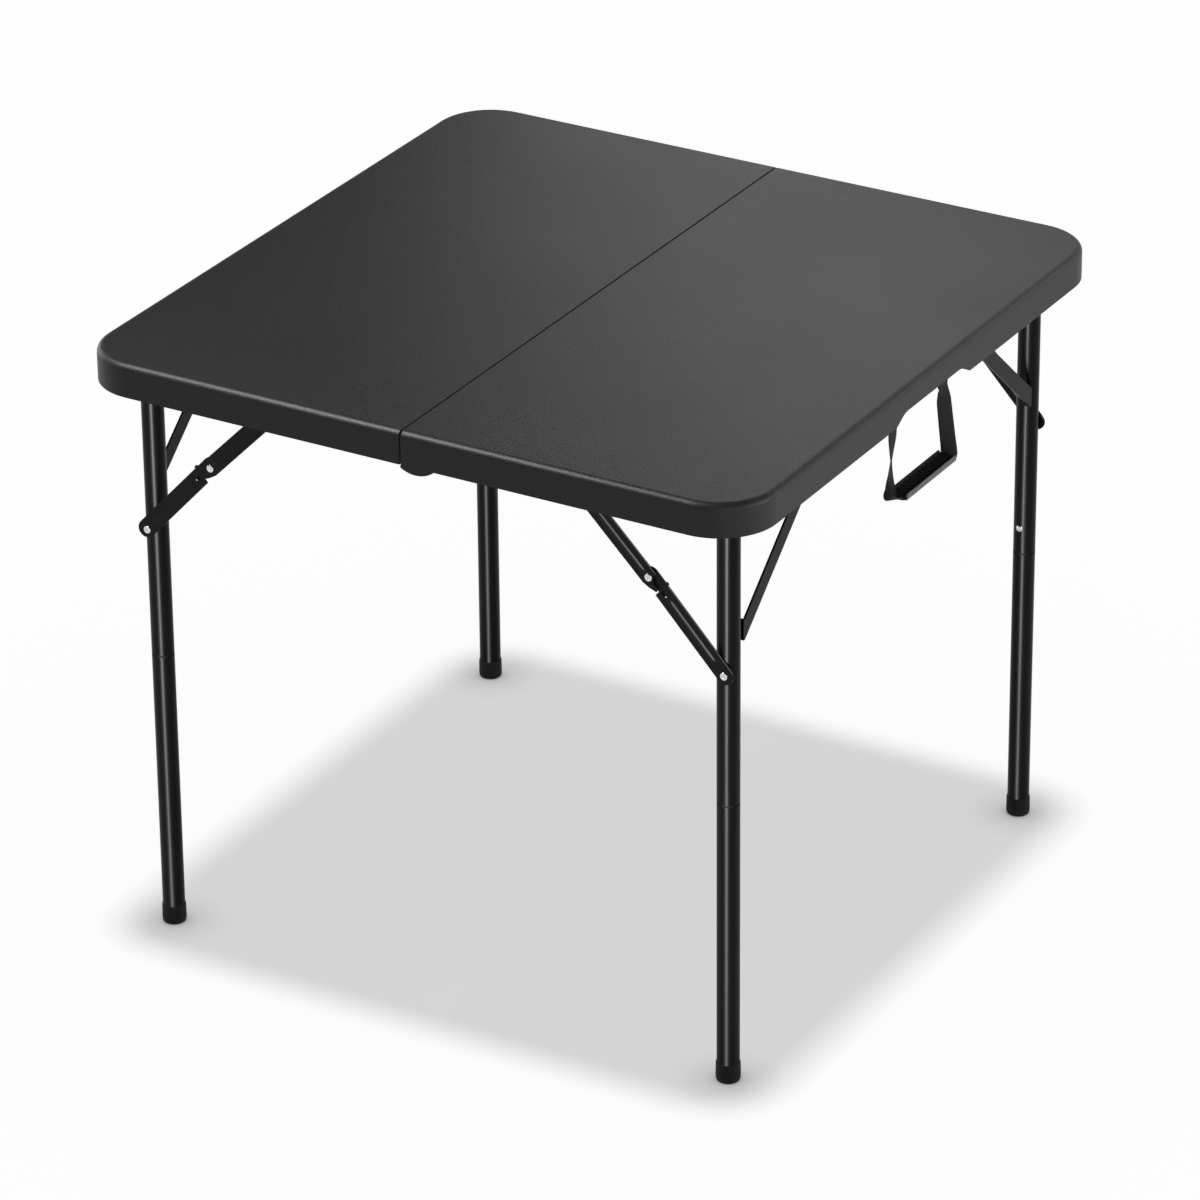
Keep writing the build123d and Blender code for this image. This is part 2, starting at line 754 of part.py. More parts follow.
def make_foot(corner, side, end):
    """The rubber cap round the foot of the leg."""
    with BuildPart() as foot:
        with Locations((leg_x, leg_y, 0)):
            Cylinder(foot_radius, foot_height, align=LOWEST)
        fillet(foot.edges().filter_by(GeomType.CIRCLE), foot_fillet)
        with Locations((leg_x, leg_y, foot_floor)):
            Cylinder(tube_radius, foot_height, align=LOWEST, mode=Mode.SUBTRACT)
        mirror_to(side, end)
    finish(foot, f"{corner}_foot")


def make_snap_button(corner, side, end):
    """The domed button, which stands out through both tubes, and the flange behind it."""
    face = leg_y - tube_radius - button_stand
    with BuildPart() as button:
        with BuildSketch(across(button_back)):
            with Locations((leg_x, button_height)):
                Circle(button_radius)
        extrude(amount=button_back - face)
        fillet(button.edges().sort_by(Axis.Y)[0], button_dome)
        with BuildSketch(across(button_back)):
            with Locations((leg_x, button_height)):
                Circle(button_flange_radius)
        extrude(amount=button_flange)
        mirror_to(side, end)
    finish(button, f"{corner}_snap_button")


def make_snap_clip(corner, side, end):
    """The leaf spring behind the button: a strip down from the button, round a bend and up the far wall."""
    near = button_back + clip_thickness / 2
    reach = math.sqrt(spigot_bore**2 - (clip_width / 2) ** 2)
    far = leg_y + reach - fit_gap - clip_thickness / 2
    top = button_height + button_flange_radius
    low = button_height - clip_drop
    with BuildPart() as clip:
        with BuildSketch(Plane.YZ.offset(leg_x - clip_width / 2)):
            with BuildLine():
                FilletPolyline((near, top), (near, low), (far, low), (far, top), radius=clip_bend_radius)
            trace(line_width=clip_thickness)
        extrude(amount=clip_width)
        mirror_to(side, end)
    finish(clip, f"{corner}_snap_clip")


def make_bar():
    """The steel bar behind the notch that the straps loop round."""
    with BuildPart() as bar:
        with BuildSketch(across(notch_centre)):
            with Locations((bar_x, bar_height)):
                Circle(bar_radius)
        extrude(amount=bar_end, both=True)
    finish(bar, "handle_bar")


def make_ears():
    """The two bent ears under the web that hold the bar's ends."""
    with BuildPart() as ears:
        for end in (-1, 1):
            hang = bar_end - ear_thickness / 2
            with BuildSketch(across(notch_centre + end * hang)):
                with Locations((bar_x, bar_height)):
                    Circle(ear_half_width)
                with Locations((bar_x, (bar_height + web_bottom) / 2)):
                    Rectangle(2 * ear_half_width, web_bottom - bar_height)
                with Locations((bar_x, bar_height)):
                    Circle(bar_radius, mode=Mode.SUBTRACT)
            extrude(amount=ear_thickness / 2, both=True)
            with BuildSketch(Plane.XY.offset(web_bottom - ear_thickness)):
                with Locations((bar_x, notch_centre + end * (bar_end + ear_base / 2))):
                    Rectangle(2 * ear_half_width, ear_base)
                    Circle(screw_radius, mode=Mode.SUBTRACT)
            extrude(amount=ear_thickness)
    finish(ears, "handle_ears")


def make_strap():
    """The webbing: a loop on the bar at each end, a quarter turn down each side, a run through the grip."""
    loop_inner = bar_radius + strap_fit
    twist_top = bar_height - strap_straight
    twist_low = strap_low + 2 * strap_thickness + strap_corner_radius
    middle = strap_thickness / 2
    with BuildPart() as strap:
        for end in (-1, 1):
            top_y = notch_centre + end * strap_top_y
            low_y = grip_centre + end * strap_corner_y
            with BuildSketch(across(top_y)):
                with Locations((bar_x, bar_height)):
                    Circle(loop_inner + strap_thickness)
                with Locations((bar_x, (bar_height + twist_top) / 2)):
                    Rectangle(strap_thickness, bar_height - twist_top)
                with Locations((bar_x, bar_height)):
                    Circle(loop_inner, mode=Mode.SUBTRACT)
            extrude(amount=strap_width / 2, both=True)
            for down, turn in zip(twist_height_shares, twist_turn_shares):
                place = (
                    bar_x + (grip_x - bar_x) * down,
                    top_y + (low_y - top_y) * down,
                    twist_top + (twist_low - twist_top) * down,
                )
                with BuildSketch(Plane(origin=place, z_dir=(0, 0, 1))):
                    Rectangle(strap_thickness, strap_width, rotation=-end * quarter_turn * turn)
            loft(ruled=True)
        with BuildSketch(Plane.YZ.offset(grip_x - strap_width / 2)):
            with BuildLine():
                FilletPolyline(
                    (grip_centre - strap_corner_y, twist_low),
                    (grip_centre - strap_corner_y, strap_low + middle),
                    (grip_centre + strap_corner_y, strap_low + middle),
                    (grip_centre + strap_corner_y, twist_low),
                    radius=strap_corner_radius + middle,
                )
            trace(line_width=strap_thickness)
        extrude(amount=strap_width)
    finish(strap, "handle_strap")


def make_grip():
    """The moulded trough with a slot for the strap under its floor and slanted ribs along its floor."""
    bottom = strap_low - move_gap - grip_wall
    slot_width = strap_width + 2 * move_gap
    slot_height = strap_thickness + 2 * move_gap
    floor = bottom + 2 * grip_wall + slot_height
    width = slot_width + 2 * grip_wall
    with BuildPart() as grip:
        with BuildSketch(across(grip_centre)):
            with Locations((grip_x, bottom + grip_height / 2)):
                body = Rectangle(width, grip_height)
            fillet(body.vertices().group_by(Axis.Y)[0], grip_bottom_round)
            with Locations((grip_x, bottom + grip_wall + slot_height / 2)):
                Rectangle(slot_width, slot_height, mode=Mode.SUBTRACT)
            with Locations((grip_x, floor + grip_height / 2)):
                Rectangle(slot_width, grip_height, mode=Mode.SUBTRACT)
        extrude(amount=grip_length / 2, both=True)
        pitch = grip_length / grip_rib_count
        with BuildSketch(Plane.XY.offset(floor)):
            for n in range(grip_rib_count - 1):
                with Locations((grip_x, grip_centre - grip_length / 2 + pitch * (n + 1))):
                    Rectangle(width, grip_rib_width, rotation=grip_rib_slant)
            with Locations((grip_x, grip_centre)):
                Rectangle(slot_width + fit_gap, grip_length, mode=Mode.INTERSECT)
        extrude(amount=grip_rib_height)
    finish(grip, "handle_grip")


for side_name, side in SIDES.items():
    make_top(side_name, side)
    make_cross_tube(side_name, side)
    make_frame_rivets(side_name, side)
    make_anchor_rivets(side_name, side)
    make_clamps(side_name, side)
    make_screws(side_name, side)
    make_hinge_leaves(side_name, side)
    for end_name, end in ENDS.items():
        corner = f"{side_name}_{end_name}"
        make_upper_leg(corner, side, end)
        make_gusset(corner, side, end)
        make_lower_link(corner, side, end)
        make_upper_link(corner, side, end)
        make_knee_rivet(corner, side, end)
        make_anchor(corner, side, end)
        make_lower_leg(corner, side, end)
        make_foot(corner, side, end)
        make_snap_button(corner, side, end)
        make_snap_clip(corner, side, end)
make_hinge_pins()
make_bar()
make_ears()
make_strap()
make_grip()
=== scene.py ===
import math

import bmesh
import bpy
import numpy as np
from bpy.props import FloatProperty, FloatVectorProperty, IntProperty, PointerProperty
from bpy.types import Operator, Panel, PropertyGroup
from mathutils import Matrix


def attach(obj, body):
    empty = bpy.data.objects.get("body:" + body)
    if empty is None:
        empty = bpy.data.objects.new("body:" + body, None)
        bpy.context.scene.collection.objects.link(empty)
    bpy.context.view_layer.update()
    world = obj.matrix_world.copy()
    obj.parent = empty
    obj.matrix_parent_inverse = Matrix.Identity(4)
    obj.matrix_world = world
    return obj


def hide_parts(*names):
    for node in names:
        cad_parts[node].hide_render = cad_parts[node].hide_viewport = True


bl_info = {
    "name": "Folding Card Table",
    "version": (1, 0, 0),
    "blender": (4, 5, 0),
    "location": "3D View > Sidebar > Card Table",
    "description": "Finishes the card table's pieces and sets up its studio",
    "category": "Add Mesh",
}

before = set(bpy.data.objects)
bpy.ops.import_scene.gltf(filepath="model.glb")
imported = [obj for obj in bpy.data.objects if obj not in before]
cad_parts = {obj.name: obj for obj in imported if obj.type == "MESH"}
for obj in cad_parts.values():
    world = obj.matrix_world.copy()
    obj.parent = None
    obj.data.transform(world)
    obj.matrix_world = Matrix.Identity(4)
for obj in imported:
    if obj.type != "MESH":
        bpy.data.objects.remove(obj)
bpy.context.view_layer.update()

MM = 0.001
SIDES = {"left": -1, "right": 1}
ENDS = {"front": -1, "rear": 1}

# Places of the pieces in the CAD frame, in millimetres
LEG_X = 373.6
LEG_Y = 362.1
LEG_SPLIT_Z = 354.2
BRACE_FOOT = (376.8, 517.6)
BRACE_KNEE = (284.6, 617.3)
BRACE_ANCHOR = (180.8, 722.0)
LOWER_LINK_Y = 376.8
UPPER_LINK_Y = 380.3
LINK_THICKNESS = 2.0
GUSSET_RIVET = (376.8, 182.0, 706.2)
BUTTON_Z = 388.6
BAR = (414.4, 714.0)
STRAP_LOW_Z = 606.0
STRAP_HALF_WIDTH = 10.0
STRAP_HALF_THICKNESS = 0.9
STRAP_LOW_LINE_Z = STRAP_LOW_Z + STRAP_HALF_THICKNESS
STRAP_STRAIGHT_Z = BAR[1] - 20.0
GRIP_X = 417.0
GRIP_Y = 10.0
GRIP_LOW_Z = 604.1
GRIP_LENGTH = 120.0


class Value:
    """A shader socket that Python's operators work on: each operation adds one Math node."""

    def __init__(self, shader, socket):
        self.shader = shader
        self.socket = socket

    def math(self, operation, *others):
        values = dict(enumerate((self, *others)))
        return self.shader.node("ShaderNodeMath", {"operation": operation}, values)

    def flipped(self, operation, other):
        return self.shader.node("ShaderNodeMath", {"operation": operation}, {0: other, 1: self})

    def __add__(self, other):
        return self.math("ADD", other)

    def __sub__(self, other):
        return self.math("SUBTRACT", other)

    def __mul__(self, other):
        return self.math("MULTIPLY", other)

    def __rsub__(self, other):
        return self.flipped("SUBTRACT", other)

    __radd__ = __add__
    __rmul__ = __mul__

    def sine(self):
        return self.math("SINE")

    def size(self):
        return self.math("ABSOLUTE")

    def clamped(self):
        return self.shader.node("ShaderNodeClamp", {}, {0: self, 1: 0.0, 2: 1.0})


class Shader:
    """A node tree of a material or of the world. One method makes every node."""

    def __init__(self, tree):
        self.tree = tree
        tree.nodes.clear()

    def node(self, kind, settings, sockets, output=0):
        """Makes one node: its settings, then the values or links of its sockets. Gives back one output."""
        made = self.tree.nodes.new(kind)
        for name, setting in settings.items():
            if name == "stops":
                for stop, (place, shade) in enumerate(setting):
                    ramp = made.color_ramp.elements
                    mark = ramp[stop] if stop < len(ramp) else ramp.new(place)
                    mark.position = place
                    mark.color = (*shade, 1.0)
            else:
                setattr(made, name, setting)
        for name, value in sockets.items():
            if isinstance(value, Value):
                self.tree.links.new(value.socket, made.inputs[name])
            elif value is not None:
                made.inputs[name].default_value = value
        if not made.outputs:
            return made
        return Value(self, made.outputs[output])

    def colour_mix(self, factor, first, second, blend="MIX"):
        settings = {"data_type": "RGBA", "blend_type": blend}
        return self.node("ShaderNodeMix", settings, {0: factor, 6: rgba(first), 7: rgba(second)}, 2)

    def steps(self, value, low, high):
        """Rises smoothly from 0 at low to 1 at high."""
        settings = {"interpolation_type": "SMOOTHSTEP"}
        return self.node("ShaderNodeMapRange", settings, {0: value, 1: low, 2: high, 3: 0.0, 4: 1.0})

    def noise(self, place, scale, detail=3.0, roughness=0.5):
        sockets = {"Vector": place, "Scale": scale, "Detail": detail, "Roughness": roughness}
        return self.node("ShaderNodeTexNoise", {}, sockets)

    def cells(self, place, scale, smooth=0.6):
        settings = {"feature": "SMOOTH_F1"}
        sockets = {"Vector": place, "Scale": scale, "Smoothness": smooth}
        return self.node("ShaderNodeTexVoronoi", settings, sockets)

    def bump(self, height, strength, distance, under=None):
        sockets = {"Strength": strength, "Distance": distance, "Height": height, "Normal": under}
        return self.node("ShaderNodeBump", {}, sockets)

    def principled(self, sockets):
        return self.node("ShaderNodeBsdfPrincipled", {}, sockets)

    def object_place(self):
        return self.node("ShaderNodeTexCoord", {}, {}, "Object")

    def lie(self):
        """The piece's own map: lengths in metres along it and across it."""
        return self.node("ShaderNodeUVMap", {"uv_map": "lie"}, {})

    def light_path(self, output):
        return self.node("ShaderNodeLightPath", {}, {}, output)

    def mirrored(self):
        """1 for rays that come from a glossy or a clear surface."""
        return (self.light_path("Is Glossy Ray") + self.light_path("Is Transmission Ray")).clamped()


def rgba(colour):
    """A colour with its alpha, or a link as it is."""
    return colour if isinstance(colour, Value) else (*tuple(colour)[:3], 1.0)


def new_material(name):
    """A new material. Gives back its shader, and a function that joins a surface to it and returns it."""
    material = bpy.data.materials.new(name)
    material.use_nodes = True
    shader = Shader(material.node_tree)

    def end(surface):
        shader.node("ShaderNodeOutputMaterial", {}, {"Surface": surface})
        return material

    return shader, end


def pebbled_plastic(finish):
    """Blow moulded polyethylene: fine round pebbles, a slow change of shade, light scuffs."""
    shader, end = new_material("pebbled_plastic")
    place = shader.object_place()
    cells = shader.cells(place, 1 / finish.pebble_size, 0.5)
    fine = shader.noise(place, 2.2 / finish.pebble_size, 2.0)
    cloud = shader.noise(place, 5.0, 3.0)
    scuff = shader.steps(shader.noise(place, 46.0, 6.0, 0.75), 0.63, 0.72)
    grain = (1 - cells) * 0.75 + fine * 0.25
    dark = [c * 0.82 for c in finish.plastic]
    pale = [c * 1.2 for c in finish.plastic]
    shade = shader.colour_mix(shader.steps(grain + (cloud - 0.5) * 0.5, 0.3, 0.75), dark, pale)
    worn = [c * 1.9 for c in finish.plastic]
    shade = shader.colour_mix(scuff * 0.1, shade, worn)
    rough = finish.plastic_roughness + (cloud - 0.5) * 0.1 - scuff * 0.05
    sockets = {"Base Color": shade, "Roughness": rough.clamped(), "Specular IOR Level": finish.plastic_gloss}
    sockets["Normal"] = shader.bump(grain, 0.8, finish.pebble_size * 0.2)
    return end(shader.principled(sockets))


def powder_coat(finish, name="powder_coat", draw=None, split=False):
    """Satin black powder coat on steel: soft orange peel, a faint change of gloss, worn specks. Tubes keep the
    draw marks of their own axis, and the legs a fine sunk ring where their two halves meet, with the shade in the
    gap between the halves painted near black into the colour."""
    shader, end = new_material(name)
    place = shader.object_place()
    peel = shader.noise(place, 900.0, 2.0)
    cloud = shader.noise(place, 14.0, 4.0)
    speck = shader.steps(shader.noise(place, 260.0, 3.0, 0.6), 0.74, 0.8)
    shade = shader.colour_mix(shader.steps(cloud, 0.35, 0.7), finish.coat, [c * 1.35 for c in finish.coat])
    shade = shader.colour_mix(speck * 0.3, shade, (0.07, 0.07, 0.07))
    rough = finish.coat_roughness + (cloud - 0.5) * 0.08 + speck * 0.1
    height = peel * 0.1
    if split:
        level = shader.node("ShaderNodeSeparateXYZ", {}, {0: place}, "Z")
        groove_and_gap_shade = 1 - shader.steps((level - LEG_SPLIT_Z * MM).size(), 0.0005, 0.0016)
        # Painted shade: the colour turns near black along the split, where the gap between the two halves of the
        # leg lies in shadow; the sunk bump and the higher roughness there are the real ring.
        shade = shader.colour_mix(groove_and_gap_shade * 0.9, shade, (0.0005, 0.0005, 0.0005))
        height = height - groove_and_gap_shade
        rough = rough + groove_and_gap_shade * 0.5
    sockets = {"Base Color": shade, "Roughness": rough.clamped(), "Specular IOR Level": finish.coat_gloss}
    if draw:
        sockets["Anisotropic"] = 0.75
        sockets["Tangent"] = shader.node("ShaderNodeCombineXYZ", {}, dict(enumerate(draw)))
    sockets["Normal"] = shader.bump(height, 0.5, 0.0006)
    return end(shader.principled(sockets))


def plated_steel(name, colour, roughness):
    """Zinc plated steel: fine scratches, a slow change of tone, dull spots."""
    shader, end = new_material(name)
    place = shader.object_place()
    scratch = shader.noise(place, 2600.0, 4.0, 0.7)
    cloud = shader.noise(place, 420.0, 3.0)
    shade = shader.colour_mix(shader.steps(cloud, 0.3, 0.75), [c * 0.78 for c in colour], colour)
    rough = roughness + (cloud - 0.5) * 0.22 + (scratch - 0.5) * 0.12
    sockets = {"Base Color": shade, "Metallic": 1.0, "Roughness": rough.clamped()}
    sockets["Normal"] = shader.bump(scratch, 0.12, 0.00005)
    return end(shader.principled(sockets))


def black_rubber(finish):
    """Moulded rubber: matt, with a fine grain and dust low down near the floor."""
    shader, end = new_material("black_rubber")
    place = shader.object_place()
    height = shader.node("ShaderNodeSeparateXYZ", {}, {0: place}, "Z")
    grain = shader.noise(place, 1500.0, 3.0)
    cloud = shader.noise(place, 160.0, 4.0, 0.6)
    dust = (1 - shader.steps(height, 0.0, 0.012)) * shader.steps(cloud, 0.4, 0.7)
    shade = shader.colour_mix(dust * 0.35, finish.rubber, (0.09, 0.085, 0.08))
    rough = 0.68 + (cloud - 0.5) * 0.15
    sockets = {"Base Color": shade, "Roughness": rough.clamped(), "Specular IOR Level": 0.2}
    sockets["Normal"] = shader.bump(grain, 0.3, 0.0001)
    return end(shader.principled(sockets))


def woven_webbing(finish):
    """Webbing woven of flat yarns that cross along and across the strap, from the strap's own UV map."""
    shader, end = new_material("woven_webbing")
    lie = shader.lie()
    along = shader.node("ShaderNodeSeparateXYZ", {}, {0: lie}, "X")
    across = shader.node("ShaderNodeSeparateXYZ", {}, {0: lie}, "Y")
    turns = 2 * math.pi
    rows = (along * (turns / 0.0024)).sine()
    ends = (across * (turns / 0.0019)).sine()
    twill = ((along * (turns / 0.0048)) + across * (turns / 0.0038)).sine()
    yarn = ((rows * ends) * 0.5 + 0.5) * 0.6 + (twill * 0.5 + 0.5) * 0.4
    fuzz = shader.noise(lie, 3000.0, 3.0)
    height = yarn + fuzz * 0.3
    dark = [c * 0.45 for c in finish.webbing]
    shade = shader.colour_mix(shader.steps(height, 0.2, 1.0), dark, finish.webbing)
    rough = 0.62 + (fuzz - 0.5) * 0.2
    sockets = {"Base Color": shade, "Roughness": rough.clamped(), "Specular IOR Level": 0.15}
    sockets["Normal"] = shader.bump(height, 0.7, 0.00025)
    return end(shader.principled(sockets))


def grip_plastic(finish):
    """Satin moulded plastic of the grip, duller inside the trough, where the shade of the hollow is painted into
    the colour as a much darker tone, with a fine spark texture.
    """
    shader, end = new_material("grip_plastic")
    place = shader.object_place()
    inside = shader.steps(shader.node("ShaderNodeSeparateXYZ", {}, {0: shader.lie()}, "Y"), 0.2, 0.8)
    spark = shader.noise(place, 2400.0, 2.0)
    cloud = shader.noise(place, 60.0, 4.0)
    shade = shader.colour_mix(shader.steps(cloud, 0.3, 0.7), finish.grip, [c * 1.3 for c in finish.grip])
    # Painted shade: the inside of the trough is drawn far darker than the grip's own colour, as the shade in that
    # hollow.
    shade = shader.colour_mix(inside, shade, [c * 0.12 for c in finish.grip])
    rough = 0.42 + (cloud - 0.5) * 0.16 + inside * 0.3
    sockets = {"Base Color": shade, "Roughness": rough.clamped(), "Specular IOR Level": 0.18}
    sockets["Normal"] = shader.bump(spark, 0.2, 0.00006)
    return end(shader.principled(sockets))


def wrapped_faces(rows, columns, first=0):
    """Quads between neighbouring rings of a grid whose rings close on themselves."""
    row, column = np.meshgrid(np.arange(rows - 1), np.arange(columns), indexing="ij")
    after = (column + 1) % columns
    quads = np.stack((row * columns + column, row * columns + after,
                      (row + 1) * columns + after, (row + 1) * columns + column), -1)
    return (quads.reshape(-1, 4) + first).tolist()


def loft(rings):
    """A closed surface through rings of points: point (i, j) is the j-th of ring i. Each end has a flat cap."""
    rows, columns, _ = rings.shape
    faces = wrapped_faces(rows, columns)
    faces.append(list(range(columns))[::-1])
    faces.append(list(range((rows - 1) * columns, rows * columns)))
    return rings.reshape(-1, 3), faces


def lathe(profile, origin, axis, segments=40):
    """A turned surface: a point at height h and radius r of the profile goes round the axis through origin."""
    radius, height = np.array(profile, float).T
    angle = np.linspace(0, 2 * np.pi, segments, endpoint=False)
    axis = np.array(axis, float)
    side = np.cross(axis, (0.31, 0.57, 0.76))
    side /= np.linalg.norm(side)
    other = np.cross(axis, side)
    circle = np.cos(angle)[:, None] * side + np.sin(angle)[:, None] * other
    rings = radius[:, None, None] * circle + height[:, None, None] * axis + np.array(origin, float)
    return loft(rings)


def swept(path, across, up, section):
    """A section carried along a path: point (i, j) is path i + section j's x times across i + its y times up i."""
    rings = path[:, None] + section[None, :, :1] * across[:, None] + section[None, :, 1:] * up[:, None]
    return loft(rings)


def unit(vectors):
    """Vectors along the last axis, scaled to length one."""
    return vectors / np.linalg.norm(vectors, axis=-1, keepdims=True)


def evened(points, step):
    """The same line through points, with its points a step apart along it."""
    reach = np.append(0, np.cumsum(np.linalg.norm(np.diff(points, axis=0), axis=1)))
    even = np.linspace(0, reach[-1], int(reach[-1] / step) + 1)
    return np.stack([np.interp(even, reach, column) for column in points.T], -1)


def eased(values, width):
    """Each value replaced by the mean of its neighbours within width on both sides; both ends stay."""
    padded = np.concatenate((np.repeat(values[:1], width, 0), values, np.repeat(values[-1:], width, 0)))
    total = np.cumsum(np.concatenate((np.zeros_like(padded[:1]), padded)), axis=0)
    return (total[2 * width + 1:] - total[:-2 * width - 1]) / (2 * width + 1)


def add_piece(name, surfaces, material, body, replaced=(), sharp=32.0, lie=None):
    """Joins surfaces in millimetres into one object in metres, faces outwards, that rides on a body."""
    points, faces = [], []
    for own, own_faces in surfaces:
        first = sum(len(p) for p in points)
        points.append(np.asarray(own))
        faces.extend([[first + n for n in face] for face in own_faces])
    mesh = bpy.data.meshes.new(name)
    mesh.from_pydata((np.concatenate(points) * MM).tolist(), [], faces)
    if lie is not None:
        layer = mesh.uv_layers.new(name="lie")
        corner = np.empty(len(mesh.loops), np.int32)
        mesh.loops.foreach_get("vertex_index", corner)
        layer.data.foreach_set("uv", (np.asarray(lie) * MM)[corner].ravel())
    made = bmesh.new()
    made.from_mesh(mesh)
    bmesh.ops.recalc_face_normals(made, faces=made.faces)
    made.to_mesh(mesh)
    made.free()
    mesh.polygons.foreach_set("use_smooth", np.ones(len(mesh.polygons), bool))
    mesh.set_sharp_from_angle(angle=math.radians(sharp))
    mesh.materials.append(material)
    piece = bpy.data.objects.new(name, mesh)
    bpy.context.scene.collection.objects.link(piece)
    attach(piece, body)
    if replaced:
        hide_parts(*replaced)
    return piece


def dress(names, material):
    """Gives CAD nodes a finished material."""
    for name in names:
        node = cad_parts[name]
        node.data.materials.clear()
        node.data.materials.append(material)


def corners():
    """Each corner of the table: its name, its side's name, and its signs in X and Y."""
    for side_name, side in SIDES.items():
        for end_name, end in ENDS.items():
            yield f"{side_name}_{end_name}", side_name, side, end


def flipped(surface, side, end):
    """A surface drawn at the right rear corner, mirrored to its own corner."""
    points, faces = surface
    return points * np.array((side, end, 1)), faces


class TableFinish(PropertyGroup):
    """Colours and grain of the table's materials."""

    plastic: FloatVectorProperty(
        name="Top plastic", description="Colour of the moulded top", subtype="COLOR",
        default=(0.0205, 0.0207, 0.0212), min=0, max=1)
    plastic_roughness: FloatProperty(
        name="Top roughness", description="Roughness of the moulded top", default=0.47, min=0, max=1)
    pebble_size: FloatProperty(
        name="Pebble size", description="Distance between pebbles on the top", subtype="DISTANCE",
        unit="LENGTH", default=0.0015, min=0.0003, max=0.01)
    coat: FloatVectorProperty(
        name="Powder coat", description="Colour of the tubes and braces", subtype="COLOR",
        default=(0.007, 0.007, 0.0074), min=0, max=1)
    coat_roughness: FloatProperty(
        name="Coat roughness", description="Roughness of the powder coat", default=0.39, min=0, max=1)
    coat_gloss: FloatProperty(
        name="Coat gloss", description="Specular level of the powder coat", default=0.1, min=0, max=1)
    plastic_gloss: FloatProperty(
        name="Top gloss", description="Specular level of the moulded top", default=0.16, min=0, max=1)
    zinc: FloatVectorProperty(
        name="Zinc", description="Colour of rivets, screws and buttons", subtype="COLOR",
        default=(0.72, 0.72, 0.73), min=0, max=1)
    rubber: FloatVectorProperty(
        name="Rubber", description="Colour of the feet", subtype="COLOR",
        default=(0.005, 0.005, 0.005), min=0, max=1)
    webbing: FloatVectorProperty(
        name="Webbing", description="Colour of the handle's strap", subtype="COLOR",
        default=(0.006, 0.006, 0.0062), min=0, max=1)
    grip: FloatVectorProperty(
        name="Grip", description="Colour of the handle's grip", subtype="COLOR",
        default=(0.06, 0.06, 0.062), min=0, max=1)


class FastenerSizes(PropertyGroup):
    """Sizes of the rivets' heads, in millimetres, and the steps round rivets and buttons."""

    rivet_radius: FloatProperty(
        name="Rivet radius", description="Radius of a rivet's head, in millimetres", default=4.6, min=1)
    rivet_height: FloatProperty(
        name="Rivet height", description="Height of a rivet's head, in millimetres", default=1.15, min=0.2)
    segments: IntProperty(
        name="Segments", description="Steps round a rivet or a button", default=36, min=12, max=96)


class StageSettings(PropertyGroup):
    """The floor, the world and the camera."""

    floor: FloatVectorProperty(
        name="Floor", description="Colour of the floor", subtype="COLOR",
        default=(0.8, 0.8, 0.8), min=0, max=1)
    floor_glow: FloatProperty(
        name="Floor glow", description="Light of its own that the floor shows to the camera",
        default=0.59, min=0)
    overhead: FloatProperty(
        name="Overhead", description="Strength of the lamp overhead", default=1.2, min=0)
    strip: FloatProperty(
        name="Leg strip", description="Power of the tall lamp that draws a line down each tube",
        default=5200, min=0)
    edge: FloatProperty(
        name="Edge", description="Power of the lamp that draws the shine on the front edge", default=80, min=0)
    room: FloatProperty(
        name="Room", description="Strength of the room's own light", default=0.115, min=0)
    floor_half: FloatProperty(
        name="Floor reach", description="Half of the floor's width", subtype="DISTANCE",
        unit="LENGTH", default=40.0, min=2)
    lens: FloatProperty(
        name="Focal length", description="Focal length of the camera", subtype="DISTANCE_CAMERA",
        unit="CAMERA", default=191.17, min=10)


def finish_of(context):
    return context.scene.table_finish


class TABLE_OT_tops(Operator):
    """Finishes the two halves of the hollow top"""

    bl_idname = "card_table.tops"
    bl_label = "Hollow Tops"

    def execute(self, context):
        dress(["left_top", "right_top"], pebbled_plastic(finish_of(context)))
        return {"FINISHED"}


class TABLE_OT_steelwork(Operator):
    """Finishes the tubes, gussets, clamps, brackets, hinge leaves and ears"""

    bl_idname = "card_table.steelwork"
    bl_label = "Steelwork"

    def execute(self, context):
        finish = finish_of(context)
        coat = powder_coat(finish)
        legs = powder_coat(finish, "leg_coat", (0.0, 0.0, 1.0), True)
        rails = powder_coat(finish, "rail_coat", (0.0, 1.0, 0.0))
        plain = ["handle_ears"]
        plain += [f"{side}_{name}" for side in SIDES for name in ("pivot_clamps", "hinge_leaves")]
        plain += [f"{corner}_{name}" for corner, *_ in corners() for name in ("gusset", "brace_anchor")]
        dress(plain, coat)
        dress([f"{corner}_{name}" for corner, *_ in corners() for name in ("upper_leg", "lower_leg")], legs)
        dress([f"{side}_cross_tube" for side in SIDES], rails)
        spring = plated_steel("spring_steel", (0.42, 0.41, 0.4), 0.35)
        dress([f"{corner}_snap_clip" for corner, *_ in corners()], spring)
        dress(["hinge_pins", "handle_bar"], plated_steel("pin_steel", (0.6, 0.6, 0.61), 0.3))
        return {"FINISHED"}


def strip_places(first, last, fine):
    """Places along a strip: 3 mm apart, and 0.45 mm apart within the fine ranges."""
    coarse = np.arange(first, last, 3.0)
    coarse = coarse[np.all([(coarse < low) | (coarse > high) for low, high in fine], axis=0)]
    close = np.concatenate([np.arange(low, high, 0.45) for low, high in fine])
    places = np.sort(np.concatenate((coarse, close, [last])))
    return places[np.append(np.diff(places) > 0.1, True)]


def bead(place, offset, first, last):
    """Height of a pressed bead: a smooth hump across that fades out at both ends of its run."""
    half, height = 2.9, 1.2
    hump = np.clip(1 - (offset / half) ** 2, 0, 1) ** 1.4
    fade = np.clip(np.minimum(place - first, last - place) / half, 0, 1)
    return height * hump * (3 * fade**2 - 2 * fade**3)


